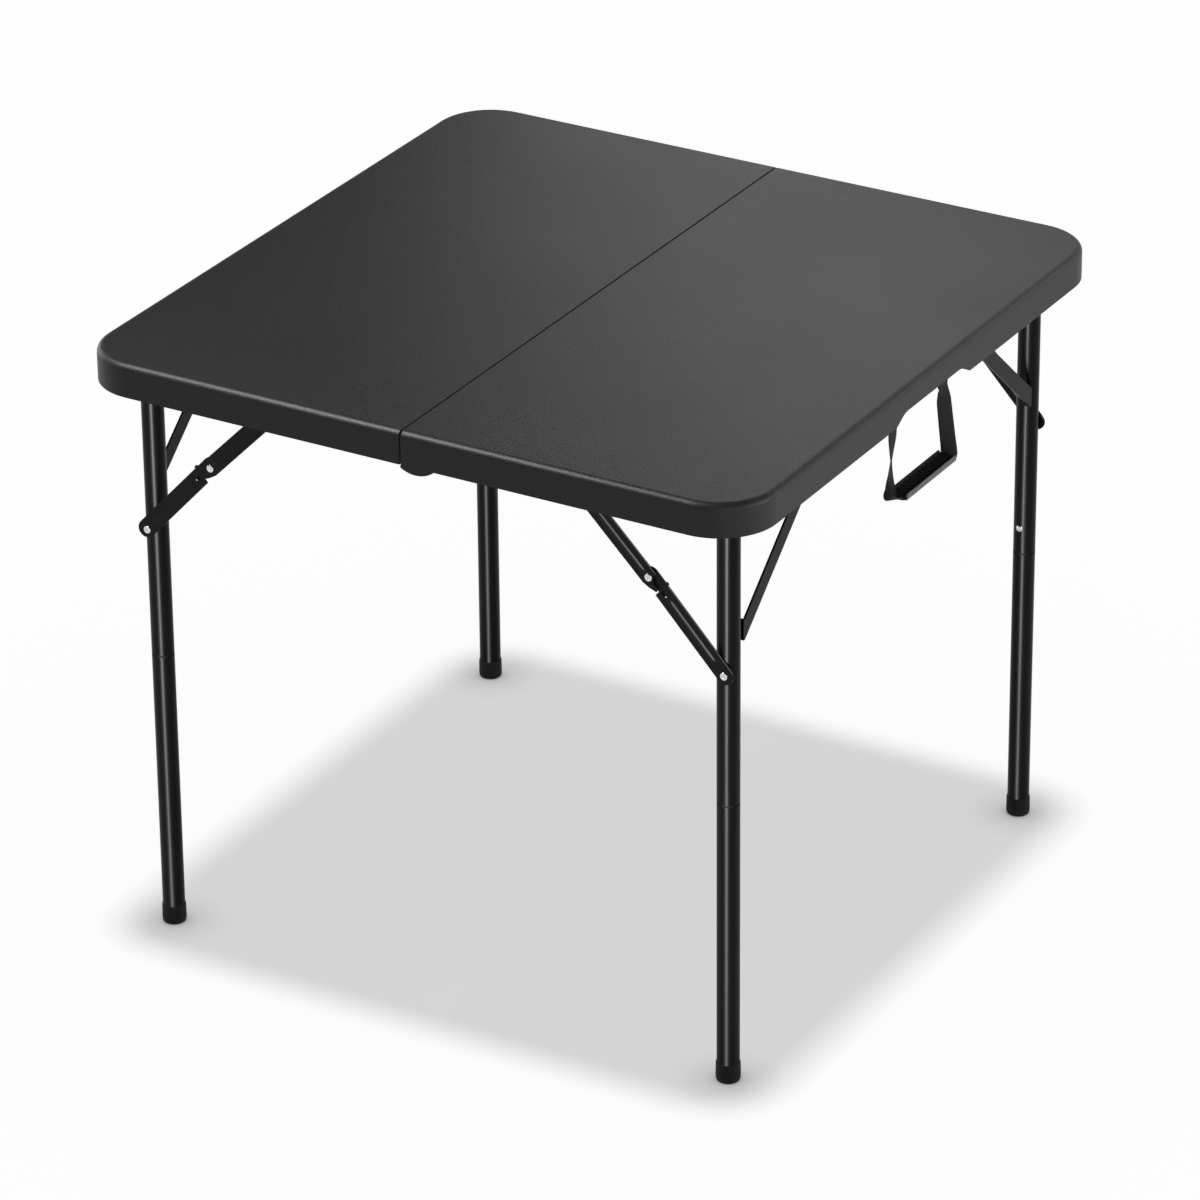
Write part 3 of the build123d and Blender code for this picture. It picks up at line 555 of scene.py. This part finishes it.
def pressed_strip(start, stop, places, low, high, inner_y, relief):
    """A pressed strip from start to stop. At each place along it, its edges are low and high, measured to the
    right of its run. The front stands a thickness before the back, its rim is rounded over, and both follow the
    relief."""
    start, stop = np.array(start), np.array(stop)
    along = unit(stop - start)
    side = np.array((along[1], -along[0]))
    rim = 0.4
    middle, half = (low + high) / 2, np.maximum((high - low) / 2, 0.3)
    share = np.concatenate((np.linspace(-1, 1, 33), np.linspace(1, -1, 33)))
    front = np.arange(66) < 33
    offset = middle[:, None] + half[:, None] * share
    edge = np.clip(half[:, None] * (1 - np.abs(share)) / rim, 0, 1)
    round_off = rim * (1 - np.sqrt(1 - (1 - edge) ** 2))
    raised, sunk = relief(places[:, None], offset)
    face = inner_y + LINK_THICKNESS - round_off + raised - sunk
    back = inner_y + round_off + np.maximum(raised - 0.3, 0)
    flat = start + places[:, None, None] * along + offset[..., None] * side
    rings = np.stack((flat[..., 0], np.where(front, face, back), flat[..., 1]), -1)
    return loft(rings)


def lower_link():
    """The link on the leg: a round foot end, a shoulder cut into its low side, a tab on its high side, an eye
    round the knee, a long bead and the sunk slot of the catch."""
    span = math.dist(BRACE_FOOT, BRACE_KNEE)
    centre, half = 1.5, 11.0
    places = strip_places(-half, span + half, [(-half, -half + 6), (span - 30, span + half)])
    out = np.clip(np.maximum(-places, places - span), 0, half)
    reach = np.sqrt(half**2 - out**2)
    past = places - span
    low = np.where(past > -20, np.maximum(centre - reach, -3), centre - reach)
    low = np.where(np.abs(past) < 7, np.minimum(low, -np.sqrt(np.maximum(49 - past**2, 0))), low)
    high = centre + reach + 2.0 * ((past > -20) & (past < -16))

    def relief(place, offset):
        beyond = np.hypot(np.maximum(np.abs(place - span + 24.25) - 1.3, 0), offset - centre)
        sunk = 1.7 * np.clip((2.1 - beyond) / 0.5, 0, 1)
        return bead(place, offset - centre, 17.6, span - 33), sunk

    return pressed_strip(BRACE_FOOT, BRACE_KNEE, places, low, high, LOWER_LINK_Y, relief)


def upper_link():
    """The link under the top: a round anchor end, straight sides, a bead, and past the knee a tongue whose low
    side runs in a curve to its tip."""
    span = math.dist(BRACE_ANCHOR, BRACE_KNEE)
    centre, half = -0.5, 10.75
    places = strip_places(-half, span + 18.1, [(-half, -half + 6), (span - 4, span + 18.1)])
    reach = np.sqrt(half**2 - np.clip(-places, 0, half) ** 2)
    past = places - span
    curve = np.array(((2.7, -11.25), (3.3, -7.4), (4.6, -4.0), (7.9, -1.4), (12.5, -0.3), (17.2, 0.5),
                      (18.1, 3.6)))
    low = np.where(past > 2.7, np.interp(past, *curve.T), centre - reach)
    high = np.where(past > 0, np.interp(past, (0, 9, 18.1), (10.25, 8.0, 4.0)), centre + reach)

    def relief(place, offset):
        return bead(place, offset - centre, 17.6, span - 7), 0.0

    return pressed_strip(BRACE_ANCHOR, BRACE_KNEE, places, low, high, UPPER_LINK_Y, relief)


class TABLE_OT_braces(Operator):
    """Makes the pressed links of the folding braces"""

    bl_idname = "card_table.braces"
    bl_label = "Brace Links"

    def execute(self, context):
        coat = bpy.data.materials["powder_coat"]
        lower, upper = lower_link(), upper_link()
        for corner, _, side, end in corners():
            add_piece(f"{corner}_pressed_lower_link", [flipped(lower, side, end)], coat,
                      f"{corner}_lower_brace", [f"{corner}_lower_link"])
            add_piece(f"{corner}_pressed_upper_link", [flipped(upper, side, end)], coat,
                      f"{corner}_upper_brace", [f"{corner}_upper_link"])
        return {"FINISHED"}


def rivet_profile(sizes, shank):
    """A turned rivet from its far end to its head: the shank's own points, then a rounded rim, a low crown and a
    dimple in the middle, as shares of the head's radius and height."""
    shares = ((1.0, 0.0), (1.0, 0.28), (0.965, 0.52), (0.89, 0.72), (0.76, 0.88), (0.6, 0.97), (0.44, 1.0),
              (0.37, 0.95), (0.31, 0.72), (0.25, 0.55), (0.12, 0.48), (0.01, 0.46))
    head = [(sizes.rivet_radius * r, sizes.rivet_height * h) for r, h in shares]
    return shank + head


# Turned profiles in millimetres: radius, and height along the piece's own axis
BUTTON_PROFILE = [(0.05, 7.7), (5.4, 7.7), (5.4, 8.9), (4.2, 8.9), (4.2, 13.9), (4.13, 14.4), (3.9, 14.85),
                  (3.5, 15.2), (3.0, 15.4), (2.75, 15.34), (2.55, 15.36), (2.2, 15.55), (1.5, 15.72),
                  (0.7, 15.79), (0.05, 15.8)]
PIVOT_SHANK = [(0.05, -8.9), (3.8, -8.9), (4.6, -7.7), (3.0, -7.7), (3.0, -3.4), (4.6, -3.4), (4.6, -2.1),
               (3.0, -2.1), (3.0, 0.0)]
GUSSET_SHANK = [(0.05, -5.0), (3.0, -5.0), (3.0, 0.0)]
KNEE_SHANK = [(0.05, -1.9), (3.0, -1.9), (3.0, 0.0)]
PIN_PROFILE = [(0.05, -0.6), (1.2, -0.6), (1.2, 0.25), (1.05, 0.6), (0.7, 0.82), (0.05, 0.9)]
CAP_PROFILE = [(0.05, 0.0), (11.6, 0.0), (12.4, 0.25), (13.3, 0.9), (13.9, 1.9), (14.2, 3.2), (14.35, 5.0),
               (14.4, 8.0), (14.3, 14.0), (14.2, 20.0), (14.1, 22.6), (13.9, 23.5), (13.6, 23.9),
               (13.25, 23.95), (13.22, 23.6), (13.22, 4.1), (0.05, 4.1)]


class TABLE_OT_fasteners(Operator):
    """Makes the rivets, catch pins and snap buttons, and finishes the screws"""

    bl_idname = "card_table.fasteners"
    bl_label = "Rivets, Screws and Buttons"

    def execute(self, context):
        sizes = context.scene.table_fasteners
        finish = finish_of(context)
        zinc = plated_steel("zinc_plate", finish.zinc, 0.24)
        dress([f"{side}_{name}" for side in SIDES for name in ("anchor_rivets", "screws")], zinc)
        turns = sizes.segments
        for side_name, side in SIDES.items():
            turned = []
            for end in ENDS.values():
                foot = (side * BRACE_FOOT[0], end * (LOWER_LINK_Y + LINK_THICKNESS), BRACE_FOOT[1])
                turned.append(lathe(rivet_profile(sizes, PIVOT_SHANK), foot, (0, end, 0), turns))
                below = (side * GUSSET_RIVET[0], end * GUSSET_RIVET[1], GUSSET_RIVET[2])
                turned.append(lathe(rivet_profile(sizes, GUSSET_SHANK), below, (0, 0, -1), turns))
            add_piece(f"{side_name}_domed_frame_rivets", turned, zinc, f"{side_name}_frame",
                      [f"{side_name}_frame_rivets"])
        for corner, _, side, end in corners():
            place = (side * BRACE_KNEE[0], end * (UPPER_LINK_Y + LINK_THICKNESS), BRACE_KNEE[1])
            head = lathe(rivet_profile(sizes, KNEE_SHANK), place, (0, end, 0), turns)
            add_piece(f"{corner}_domed_knee_rivet", [head], zinc, f"{corner}_upper_brace",
                      [f"{corner}_knee_rivet"])
            button = lathe(BUTTON_PROFILE, (side * LEG_X, end * LEG_Y, BUTTON_Z), (0, -end, 0), turns)
            add_piece(f"{corner}_domed_snap_button", [button], zinc, f"{corner}_button",
                      [f"{corner}_snap_button"])
            add_piece(f"{corner}_catch_pin", [self.catch_pin(side, end)], zinc, f"{corner}_lower_brace")
        return {"FINISHED"}

    def catch_pin(self, side, end):
        """The bright end of the catch's spring, at the foot end of its slot."""
        span = math.dist(BRACE_FOOT, BRACE_KNEE)
        along = unit(np.array(BRACE_KNEE) - np.array(BRACE_FOOT))
        place = np.array(BRACE_FOOT) + (span - 28.6) * along + 1.5 * np.array((along[1], -along[0]))
        origin = (side * place[0], end * (LOWER_LINK_Y + LINK_THICKNESS), place[1])
        return lathe(PIN_PROFILE, origin, (0, end, 0), 16)


class TABLE_OT_feet(Operator):
    """Makes the rubber caps of the feet"""

    bl_idname = "card_table.feet"
    bl_label = "Rubber Feet"

    def execute(self, context):
        rubber = black_rubber(finish_of(context))
        for corner, _, side, end in corners():
            foot = lathe(CAP_PROFILE, (side * LEG_X, end * LEG_Y, 0), (0, 0, 1), 48)
            add_piece(f"{corner}_rubber_cap", [foot], rubber, f"{corner}_leg",
                      [f"{corner}_foot"])
        return {"FINISHED"}


# How the webbing hangs at the rear (1) and the front (-1): places in Y at the bar, most of the way down and
# at the corner, the share of its quarter turn at each share of the height, and the radius of its bend into the
# grip
STRAP_HANG = {
    1: ((61.0, 69.0, 74.5), ((0, 0.15, 0.5, 0.85, 1), (0.05, 0.28, 0.33, 0.37, 0.45)), 5.0),
    -1: ((-60.0, -66.0, -68.0),
         ((0, 0.16, 0.34, 0.52, 0.77, 0.92, 1), (0, 0.03, 0.16, 0.31, 0.5, 0.68, 0.74)), 13.0),
}


def strap_side(end):
    """Half of the webbing, from the sewn tail down to the corner: points of its middle line and its width's
    direction. The line goes round the bar, then straight down, then leans out while the width turns about the
    vertical, through the given shares of the height and of a quarter turn."""
    reach = 3.55
    turn = np.radians(np.linspace(232, -52, 25))
    loop = np.stack((reach * np.cos(turn), reach * np.sin(turn)), -1)
    tail = np.array(((-1.0, -17.0), (-1.0, -12.0), (-1.1, -6.6)))
    stem = np.array(((1.1, -6.6), (0.9, -12.0), (0.3, -17.5)))
    top = evened(np.concatenate((tail, loop, stem)), 0.6)
    top = eased(top, 2)
    (top_y, waist_y, low_y), (heights, turns), radius = STRAP_HANG[end]
    drop = STRAP_LOW_LINE_Z + radius - STRAP_STRAIGHT_Z
    down = np.linspace(0, 1, 80)[1:]
    fall_y = eased(np.interp(down, (0, 0.62, 1), (top_y, waist_y, low_y)), 6)
    fall = np.stack((BAR[0] + (GRIP_X - BAR[0]) * down, fall_y, STRAP_STRAIGHT_Z + drop * down), -1)
    upper = np.stack((BAR[0] + top[:, 0], np.full(len(top), top_y), BAR[1] + top[:, 1]), -1)
    share = np.concatenate((np.zeros(len(upper)), eased(np.interp(down, heights, turns), 4)))
    return np.concatenate((upper, fall)), share


def turned_width(share, end):
    """The width's direction after a share of the quarter turn from Y to X."""
    angle = share * np.pi / 2
    return np.stack((np.sin(angle), end * np.cos(angle), np.zeros_like(angle)), -1)


def bent_side(end):
    """Half of the webbing with its bend into the grip, in which the last of the quarter turn lies. The front one
    rolls a little there, with its far edge low."""
    path, share = strap_side(end)
    radius = STRAP_HANG[end][2]
    bend = np.linspace(0, 1, 17)[1:]
    y = path[-1, 1] - end * radius * (1 - np.cos(bend * np.pi / 2))
    z = STRAP_LOW_LINE_Z + radius * (1 - np.sin(bend * np.pi / 2))
    path = np.concatenate((path, np.stack((np.full_like(y, GRIP_X), y, z), -1)))
    width = turned_width(np.concatenate((share, share[-1] + (1 - share[-1]) * bend)), end)
    if end < 0:
        width[-len(bend):, 2] = 0.6 * np.sin(bend * np.pi) ** 0.8
    return path, width


def webbing_strap():
    """The whole webbing as one ribbon: a rounded flat section carried along its middle line, and the weave's own
    map of lengths along it and across it."""
    sides = {end: bent_side(end) for end in (1, -1)}
    (rear, rear_width), (front, front_width) = sides[1], sides[-1]
    run_y = np.linspace(rear[-1, 1], front[-1, 1], 60)[1:-1]
    low = np.stack((np.full_like(run_y, GRIP_X), run_y, np.full_like(run_y, STRAP_LOW_LINE_Z)), -1)
    flat = np.tile((1.0, 0.0, 0.0), (len(low), 1))
    path = np.concatenate((rear, low, front[::-1]))
    width = unit(np.concatenate((rear_width, flat, front_width[::-1])))
    along = unit(np.gradient(path, axis=0))
    up = unit(np.cross(along, width))
    width = np.cross(up, along)
    across = STRAP_HALF_WIDTH * np.sin(np.linspace(-np.pi / 2, np.pi / 2, 23))
    swell = STRAP_HALF_THICKNESS * (1 - (np.abs(across) / STRAP_HALF_WIDTH) ** 10 * 0.75)
    section = np.concatenate((np.stack((across, swell), -1), np.stack((across, -swell), -1)[::-1]))
    points, faces = swept(path, width, up, section)
    length = np.append(0, np.cumsum(np.linalg.norm(np.diff(path, axis=0), axis=1)))
    lie = np.stack(np.broadcast_arrays(length[:, None], section[None, :, 0]), -1).reshape(-1, 2)
    return (points, faces), lie


def grip_trough():
    """The moulded grip: a trough's section with rolled lips, carried along Y, and round it the wall of the strap's
    slot. The floor rises in slanted ridges: their height is a smooth pulse of the place along, sheared across."""
    turn = np.linspace(0, np.pi / 2, 7)
    low = np.stack((9.5 + 2.4 * np.sin(turn), 2.4 - 2.4 * np.cos(turn)), -1)
    lip = np.array(((12.0, 5.2), (12.25, 6.4), (12.35, 7.6), (12.2, 8.35), (11.75, 8.75), (11.2, 8.8),
                    (10.7, 8.6), (10.35, 8.1), (10.25, 7.2), (10.2, 6.3), (9.9, 5.8), (9.3, 5.6)))
    right = np.concatenate((low, lip))
    bottom = np.stack((np.linspace(-9.5, 9.5, 20)[1:-1], np.zeros(18)), -1)
    floor = np.stack((np.linspace(9.3, -9.3, 32)[1:-1], np.full(30, 5.6)), -1)
    left = right[::-1] * np.array((-1, 1))
    outer = np.concatenate((bottom, right, floor, left))
    sides = len(right)
    slot_right = np.stack((np.full(sides, 10.3), np.linspace(1.6, 4.0, sides)), -1)
    inner = np.concatenate((np.stack((np.linspace(-10.3, 10.3, 20)[1:-1], np.full(18, 1.6)), -1), slot_right,
                            np.stack((np.linspace(10.3, -10.3, 32)[1:-1], np.full(30, 4.0)), -1),
                            slot_right[::-1] * np.array((-1, 1))))
    half = GRIP_LENGTH / 2
    ends = half - 0.9 * (1 - np.sin(np.linspace(0, np.pi / 2, 5)))
    rows = np.concatenate((-ends[::-1], np.linspace(-half + 0.9, half - 0.9, 161)[1:-1], ends))
    shrink = np.clip((np.abs(rows) - half + 0.9) / 0.9, 0, 1)
    shrink = 0.7 * (1 - np.sqrt(1 - shrink**2))
    middle = np.array((0.0, 4.4))
    inward = (outer - middle) / np.linalg.norm(outer - middle, axis=1, keepdims=True)
    section = outer[None] - shrink[:, None, None] * inward[None]
    first = len(bottom) + sides
    on_floor = np.zeros(len(outer))
    on_floor[first:first + len(floor)] = 1
    slant = (rows[:, None] - outer[None, :, 0] * math.tan(math.radians(24))) / 10.0
    pulse = 0.5 + 0.5 * np.cos(2 * np.pi * slant)
    ridge = 2.0 * (3 * pulse**2 - 2 * pulse**3) - 1.0
    inside = np.clip((half - 3.0 - np.abs(rows)) / 2.0, 0, 1)[:, None]
    level = section[..., 1] + on_floor * ridge * inside
    count, around = len(rows), len(outer)
    y = np.broadcast_to(rows[:, None], (count, around))
    shell = np.stack((GRIP_X + section[..., 0], GRIP_Y + y, GRIP_LOW_Z + level), -1)
    hole = np.stack((np.broadcast_to(GRIP_X + inner[:, 0], (count, around)), GRIP_Y + y,
                     np.broadcast_to(GRIP_LOW_Z + inner[:, 1], (count, around))), -1)
    points = np.concatenate((shell.reshape(-1, 3), hole.reshape(-1, 3)))
    size = count * around
    faces = wrapped_faces(count, around)
    faces += [face[::-1] for face in wrapped_faces(count, around, size)]
    column = np.arange(around)
    after = (column + 1) % around
    for row, turned in ((0, 1), (count - 1, -1)):
        base = row * around
        cap = np.stack((base + column, size + base + column, size + base + after, base + after), -1)
        faces += cap[:, ::turned].tolist()
    # The trough's inside faces, marked in the map for the grip's material, which paints them darker as shade and
    # makes them duller.
    inside = np.zeros(around)
    inside[len(bottom) + len(low) + 5:len(outer) - len(low) - 5] = 1.0
    inside = np.tile(inside, (count, 1))
    lie = np.stack((np.broadcast_to(rows[:, None], (count, around)), inside / MM), -1).reshape(-1, 2)
    return (points, faces), np.concatenate((lie, np.zeros_like(lie)))


class TABLE_OT_handle(Operator):
    """Makes the webbing strap and the moulded grip of the carry handle"""

    bl_idname = "card_table.handle"
    bl_label = "Carry Handle"

    def execute(self, context):
        finish = finish_of(context)
        strap, lie = webbing_strap()
        add_piece("handle_webbing", [strap], woven_webbing(finish), "handle", ["handle_strap"],
                  sharp=60, lie=lie)
        trough, lie = grip_trough()
        add_piece("handle_trough", [trough], grip_plastic(finish), "handle",
                  ["handle_grip"], sharp=50, lie=lie)
        return {"FINISHED"}


def stage_floor(settings):
    """A pale floor that glows to the camera and to glossy and clear rays, so that it shows white there and keeps
    the table's shadow. Its glow is dimmed close to the feet and legs: a painted contact shadow."""
    shader, end = new_material("studio_floor")
    own = shader.principled({"Base Color": rgba(settings.floor), "Roughness": 0.9, "Specular IOR Level": 0.0})
    # Painted contact shadow: the glow fades where the floor lies close to the feet and legs.
    near = shader.node("ShaderNodeAmbientOcclusion", {"samples": 8}, {"Distance": 0.06}, "AO")
    sockets = {"Color": (1.0, 1.0, 1.0, 1.0), "Strength": near * settings.floor_glow}
    glow = shader.node("ShaderNodeEmission", {}, sockets)
    both = shader.node("ShaderNodeAddShader", {}, {0: own, 1: glow})
    seen = shader.light_path("Is Camera Ray") + shader.mirrored()
    return end(shader.node("ShaderNodeMixShader", {}, {0: seen.clamped(), 1: own, 2: both}))


# Softboxes round the table: name, bearing from the front toward the right and height in degrees, distance and
# size in metres, power in watts
SOFTBOXES = (
    ("rear_left_softbox", -155, 23, 1.64, (0.6, 0.6), 2.6),
    ("back_softbox", 180, 35, 1.6, (0.9, 0.7), 5.6),
    ("rear_right_softbox", 135, 18, 1.15, (0.6, 0.5), 1.9),
    ("right_softbox", 90, 10, 1.6, (0.9, 0.7), 13.0),
    ("front_right_softbox", 45, 10, 1.6, (0.9, 0.7), 3.0),
    ("left_softbox", -90, 10, 1.6, (0.9, 0.7), 8.0),
)
APRON_MIDDLE = (0, 0, 0.65)
LEG_MIDDLE = (0, 0, 0.36)
BRACE_SHARE = 0.25

# The camera of the photograph: its turn about Z, tilt and roll in degrees, and its place in metres
CAMERA_ANGLES = (30.3337, 26.4976, -0.5195)
CAMERA_PLACE = (3.37848, -5.77389, 3.68947)


class TABLE_OT_stage(Operator):
    """Makes the floor, the lamps, the world and the camera"""

    bl_idname = "card_table.stage"
    bl_label = "Studio"

    def execute(self, context):
        scene = context.scene
        settings = scene.table_stage
        table = [item for item in scene.objects if item.type == "MESH"]
        half = settings.floor_half
        mesh = bpy.data.meshes.new("floor")
        outline = [(-half, -half, 0), (half, -half, 0), (half, half, 0), (-half, half, 0)]
        mesh.from_pydata(outline, [], [(0, 1, 2, 3)])
        mesh.materials.append(stage_floor(settings))
        floor = bpy.data.objects.new("floor", mesh)
        scene.collection.objects.link(floor)
        braces = [item for item in table if "link" in item.name or "gusset" in item.name]
        tubes = [item for item in table if "leg" in item.name or "tube" in item.name]
        rest = [item for item in table if item not in braces + tubes]
        for name, *place, size, power in SOFTBOXES:
            self.softbox(scene, name, APRON_MIDDLE, place, size, power, rest)
        place, size = (-45, 50, 1.6), (0.9, 0.7)
        edge = self.softbox(scene, "edge_softbox", APRON_MIDDLE, place, size, settings.edge, rest)
        edge.visible_diffuse = False
        for name, lit, share in (("leg_strip", tubes, 1.0), ("brace_strip", braces, BRACE_SHARE)):
            power = settings.strip * share
            strip = self.softbox(scene, name, LEG_MIDDLE, (14, 6, 8.0), (1.0, 2.3), power, lit)
            strip.visible_diffuse = False
        self.sun(scene, settings, floor)
        self.world(scene, settings)
        self.camera(scene, settings)
        scene.view_settings.view_transform = "Standard"
        return {"FINISHED"}

    def softbox(self, scene, name, target, place, size, power, lit):
        """A soft lamp that faces target from a bearing, height and distance, and lights only what is in lit."""
        bearing, height, distance = place
        light = bpy.data.lights.new(name, "AREA")
        light.shape = "RECTANGLE"
        light.size, light.size_y = size
        light.energy = power
        lamp = bpy.data.objects.new(name, light)
        turn, rise = math.radians(bearing), math.radians(height)
        back = np.array((math.sin(turn) * math.cos(rise), -math.cos(turn) * math.cos(rise), math.sin(rise)))
        right = unit(np.cross((0, 0, 1), back))
        axes = np.eye(4)
        axes[:3, 0], axes[:3, 1], axes[:3, 2] = right, np.cross(back, right), back
        axes[:3, 3] = np.array(target) + distance * back
        lamp.matrix_world = Matrix(axes.tolist())
        scene.collection.objects.link(lamp)
        self.light_only(lamp, lit)
        return lamp

    def light_only(self, lamp, lit):
        """Keeps a lamp's light to the objects in lit."""
        receivers = bpy.data.collections.new(lamp.name + "_lit")
        for item in lit:
            receivers.objects.link(item)
        lamp.light_linking.receiver_collection = receivers

    def sun(self, scene, settings, floor):
        """A soft lamp straight overhead for the floor, where its shadow is the outline of the top."""
        light = bpy.data.lights.new("overhead", "SUN")
        light.energy = settings.overhead
        light.angle = math.radians(5.5)
        lamp = bpy.data.objects.new("overhead", light)
        lamp.location = (0, 0, 3)
        lamp.visible_glossy = False
        scene.collection.objects.link(lamp)
        self.light_only(lamp, [floor])

    def world(self, scene, settings):
        """A grey room: white to the camera, and to mirrors white near the floor and dim above."""
        world = bpy.data.worlds.new("studio")
        world.use_nodes = True
        scene.world = world
        shader = Shader(world.node_tree)
        way = shader.node("ShaderNodeTexCoord", {}, {}, "Generated")
        rise = shader.node("ShaderNodeSeparateXYZ", {}, {0: way}, "Z")
        sky = 1.0 - shader.steps(rise, 0.05, 0.26) * 0.85
        room = shader.node("ShaderNodeBackground", {}, {"Strength": settings.room, "Color": (1, 1, 1, 1)})
        mirror = shader.node("ShaderNodeBackground", {}, {"Strength": sky, "Color": (1, 1, 1, 1)})
        white = shader.node("ShaderNodeBackground", {}, {"Strength": 1.0, "Color": (1, 1, 1, 1)})
        unseen = shader.node("ShaderNodeMixShader", {}, {0: shader.mirrored(), 1: room, 2: mirror})
        seen = shader.light_path("Is Camera Ray")
        mixed = shader.node("ShaderNodeMixShader", {}, {0: seen, 1: unseen, 2: white})
        shader.node("ShaderNodeOutputWorld", {}, {"Surface": mixed})

    def camera(self, scene, settings):
        """The camera of the photograph, which looks along its own -Z."""
        turn, tilt, roll = (math.radians(angle) for angle in CAMERA_ANGLES)
        back = np.array((math.sin(turn) * math.cos(tilt), -math.cos(turn) * math.cos(tilt), math.sin(tilt)))
        level = np.array((math.cos(turn), math.sin(turn), 0))
        upright = np.cross(back, level)
        axes = np.eye(4)
        axes[:3, 0] = math.cos(roll) * level + math.sin(roll) * upright
        axes[:3, 1] = math.cos(roll) * upright - math.sin(roll) * level
        axes[:3, 2] = back
        axes[:3, 3] = CAMERA_PLACE
        data = bpy.data.cameras.new("camera")
        data.lens = settings.lens
        data.sensor_width = 36.0
        data.sensor_fit = "HORIZONTAL"
        data.clip_end = 200.0
        camera = bpy.data.objects.new("camera", data)
        camera.matrix_world = Matrix(axes.tolist())
        scene.collection.objects.link(camera)
        scene.camera = camera


STEPS = (TABLE_OT_tops, TABLE_OT_steelwork, TABLE_OT_braces, TABLE_OT_fasteners, TABLE_OT_feet,
         TABLE_OT_handle, TABLE_OT_stage)


class TABLE_PT_pieces(Panel):
    """Lists the table's pieces and its studio"""

    bl_idname = "TABLE_PT_pieces"
    bl_label = "Card Table"
    bl_space_type = "VIEW_3D"
    bl_region_type = "UI"
    bl_category = "Card Table"

    def draw(self, context):
        for step in STEPS:
            self.layout.operator(step.bl_idname)


GROUPS = {"table_finish": TableFinish, "table_fasteners": FastenerSizes, "table_stage": StageSettings}


def register():
    for kind in (*GROUPS.values(), *STEPS, TABLE_PT_pieces):
        bpy.utils.register_class(kind)
    for name, kind in GROUPS.items():
        setattr(bpy.types.Scene, name, PointerProperty(type=kind))


def unregister():
    for name in GROUPS:
        delattr(bpy.types.Scene, name)
    for kind in reversed((*GROUPS.values(), *STEPS, TABLE_PT_pieces)):
        bpy.utils.unregister_class(kind)


def main():
    """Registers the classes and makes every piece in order."""
    register()
    for step in STEPS:
        group, name = step.bl_idname.split(".")
        getattr(getattr(bpy.ops, group), name)()


if __name__ == "__main__":
    main()
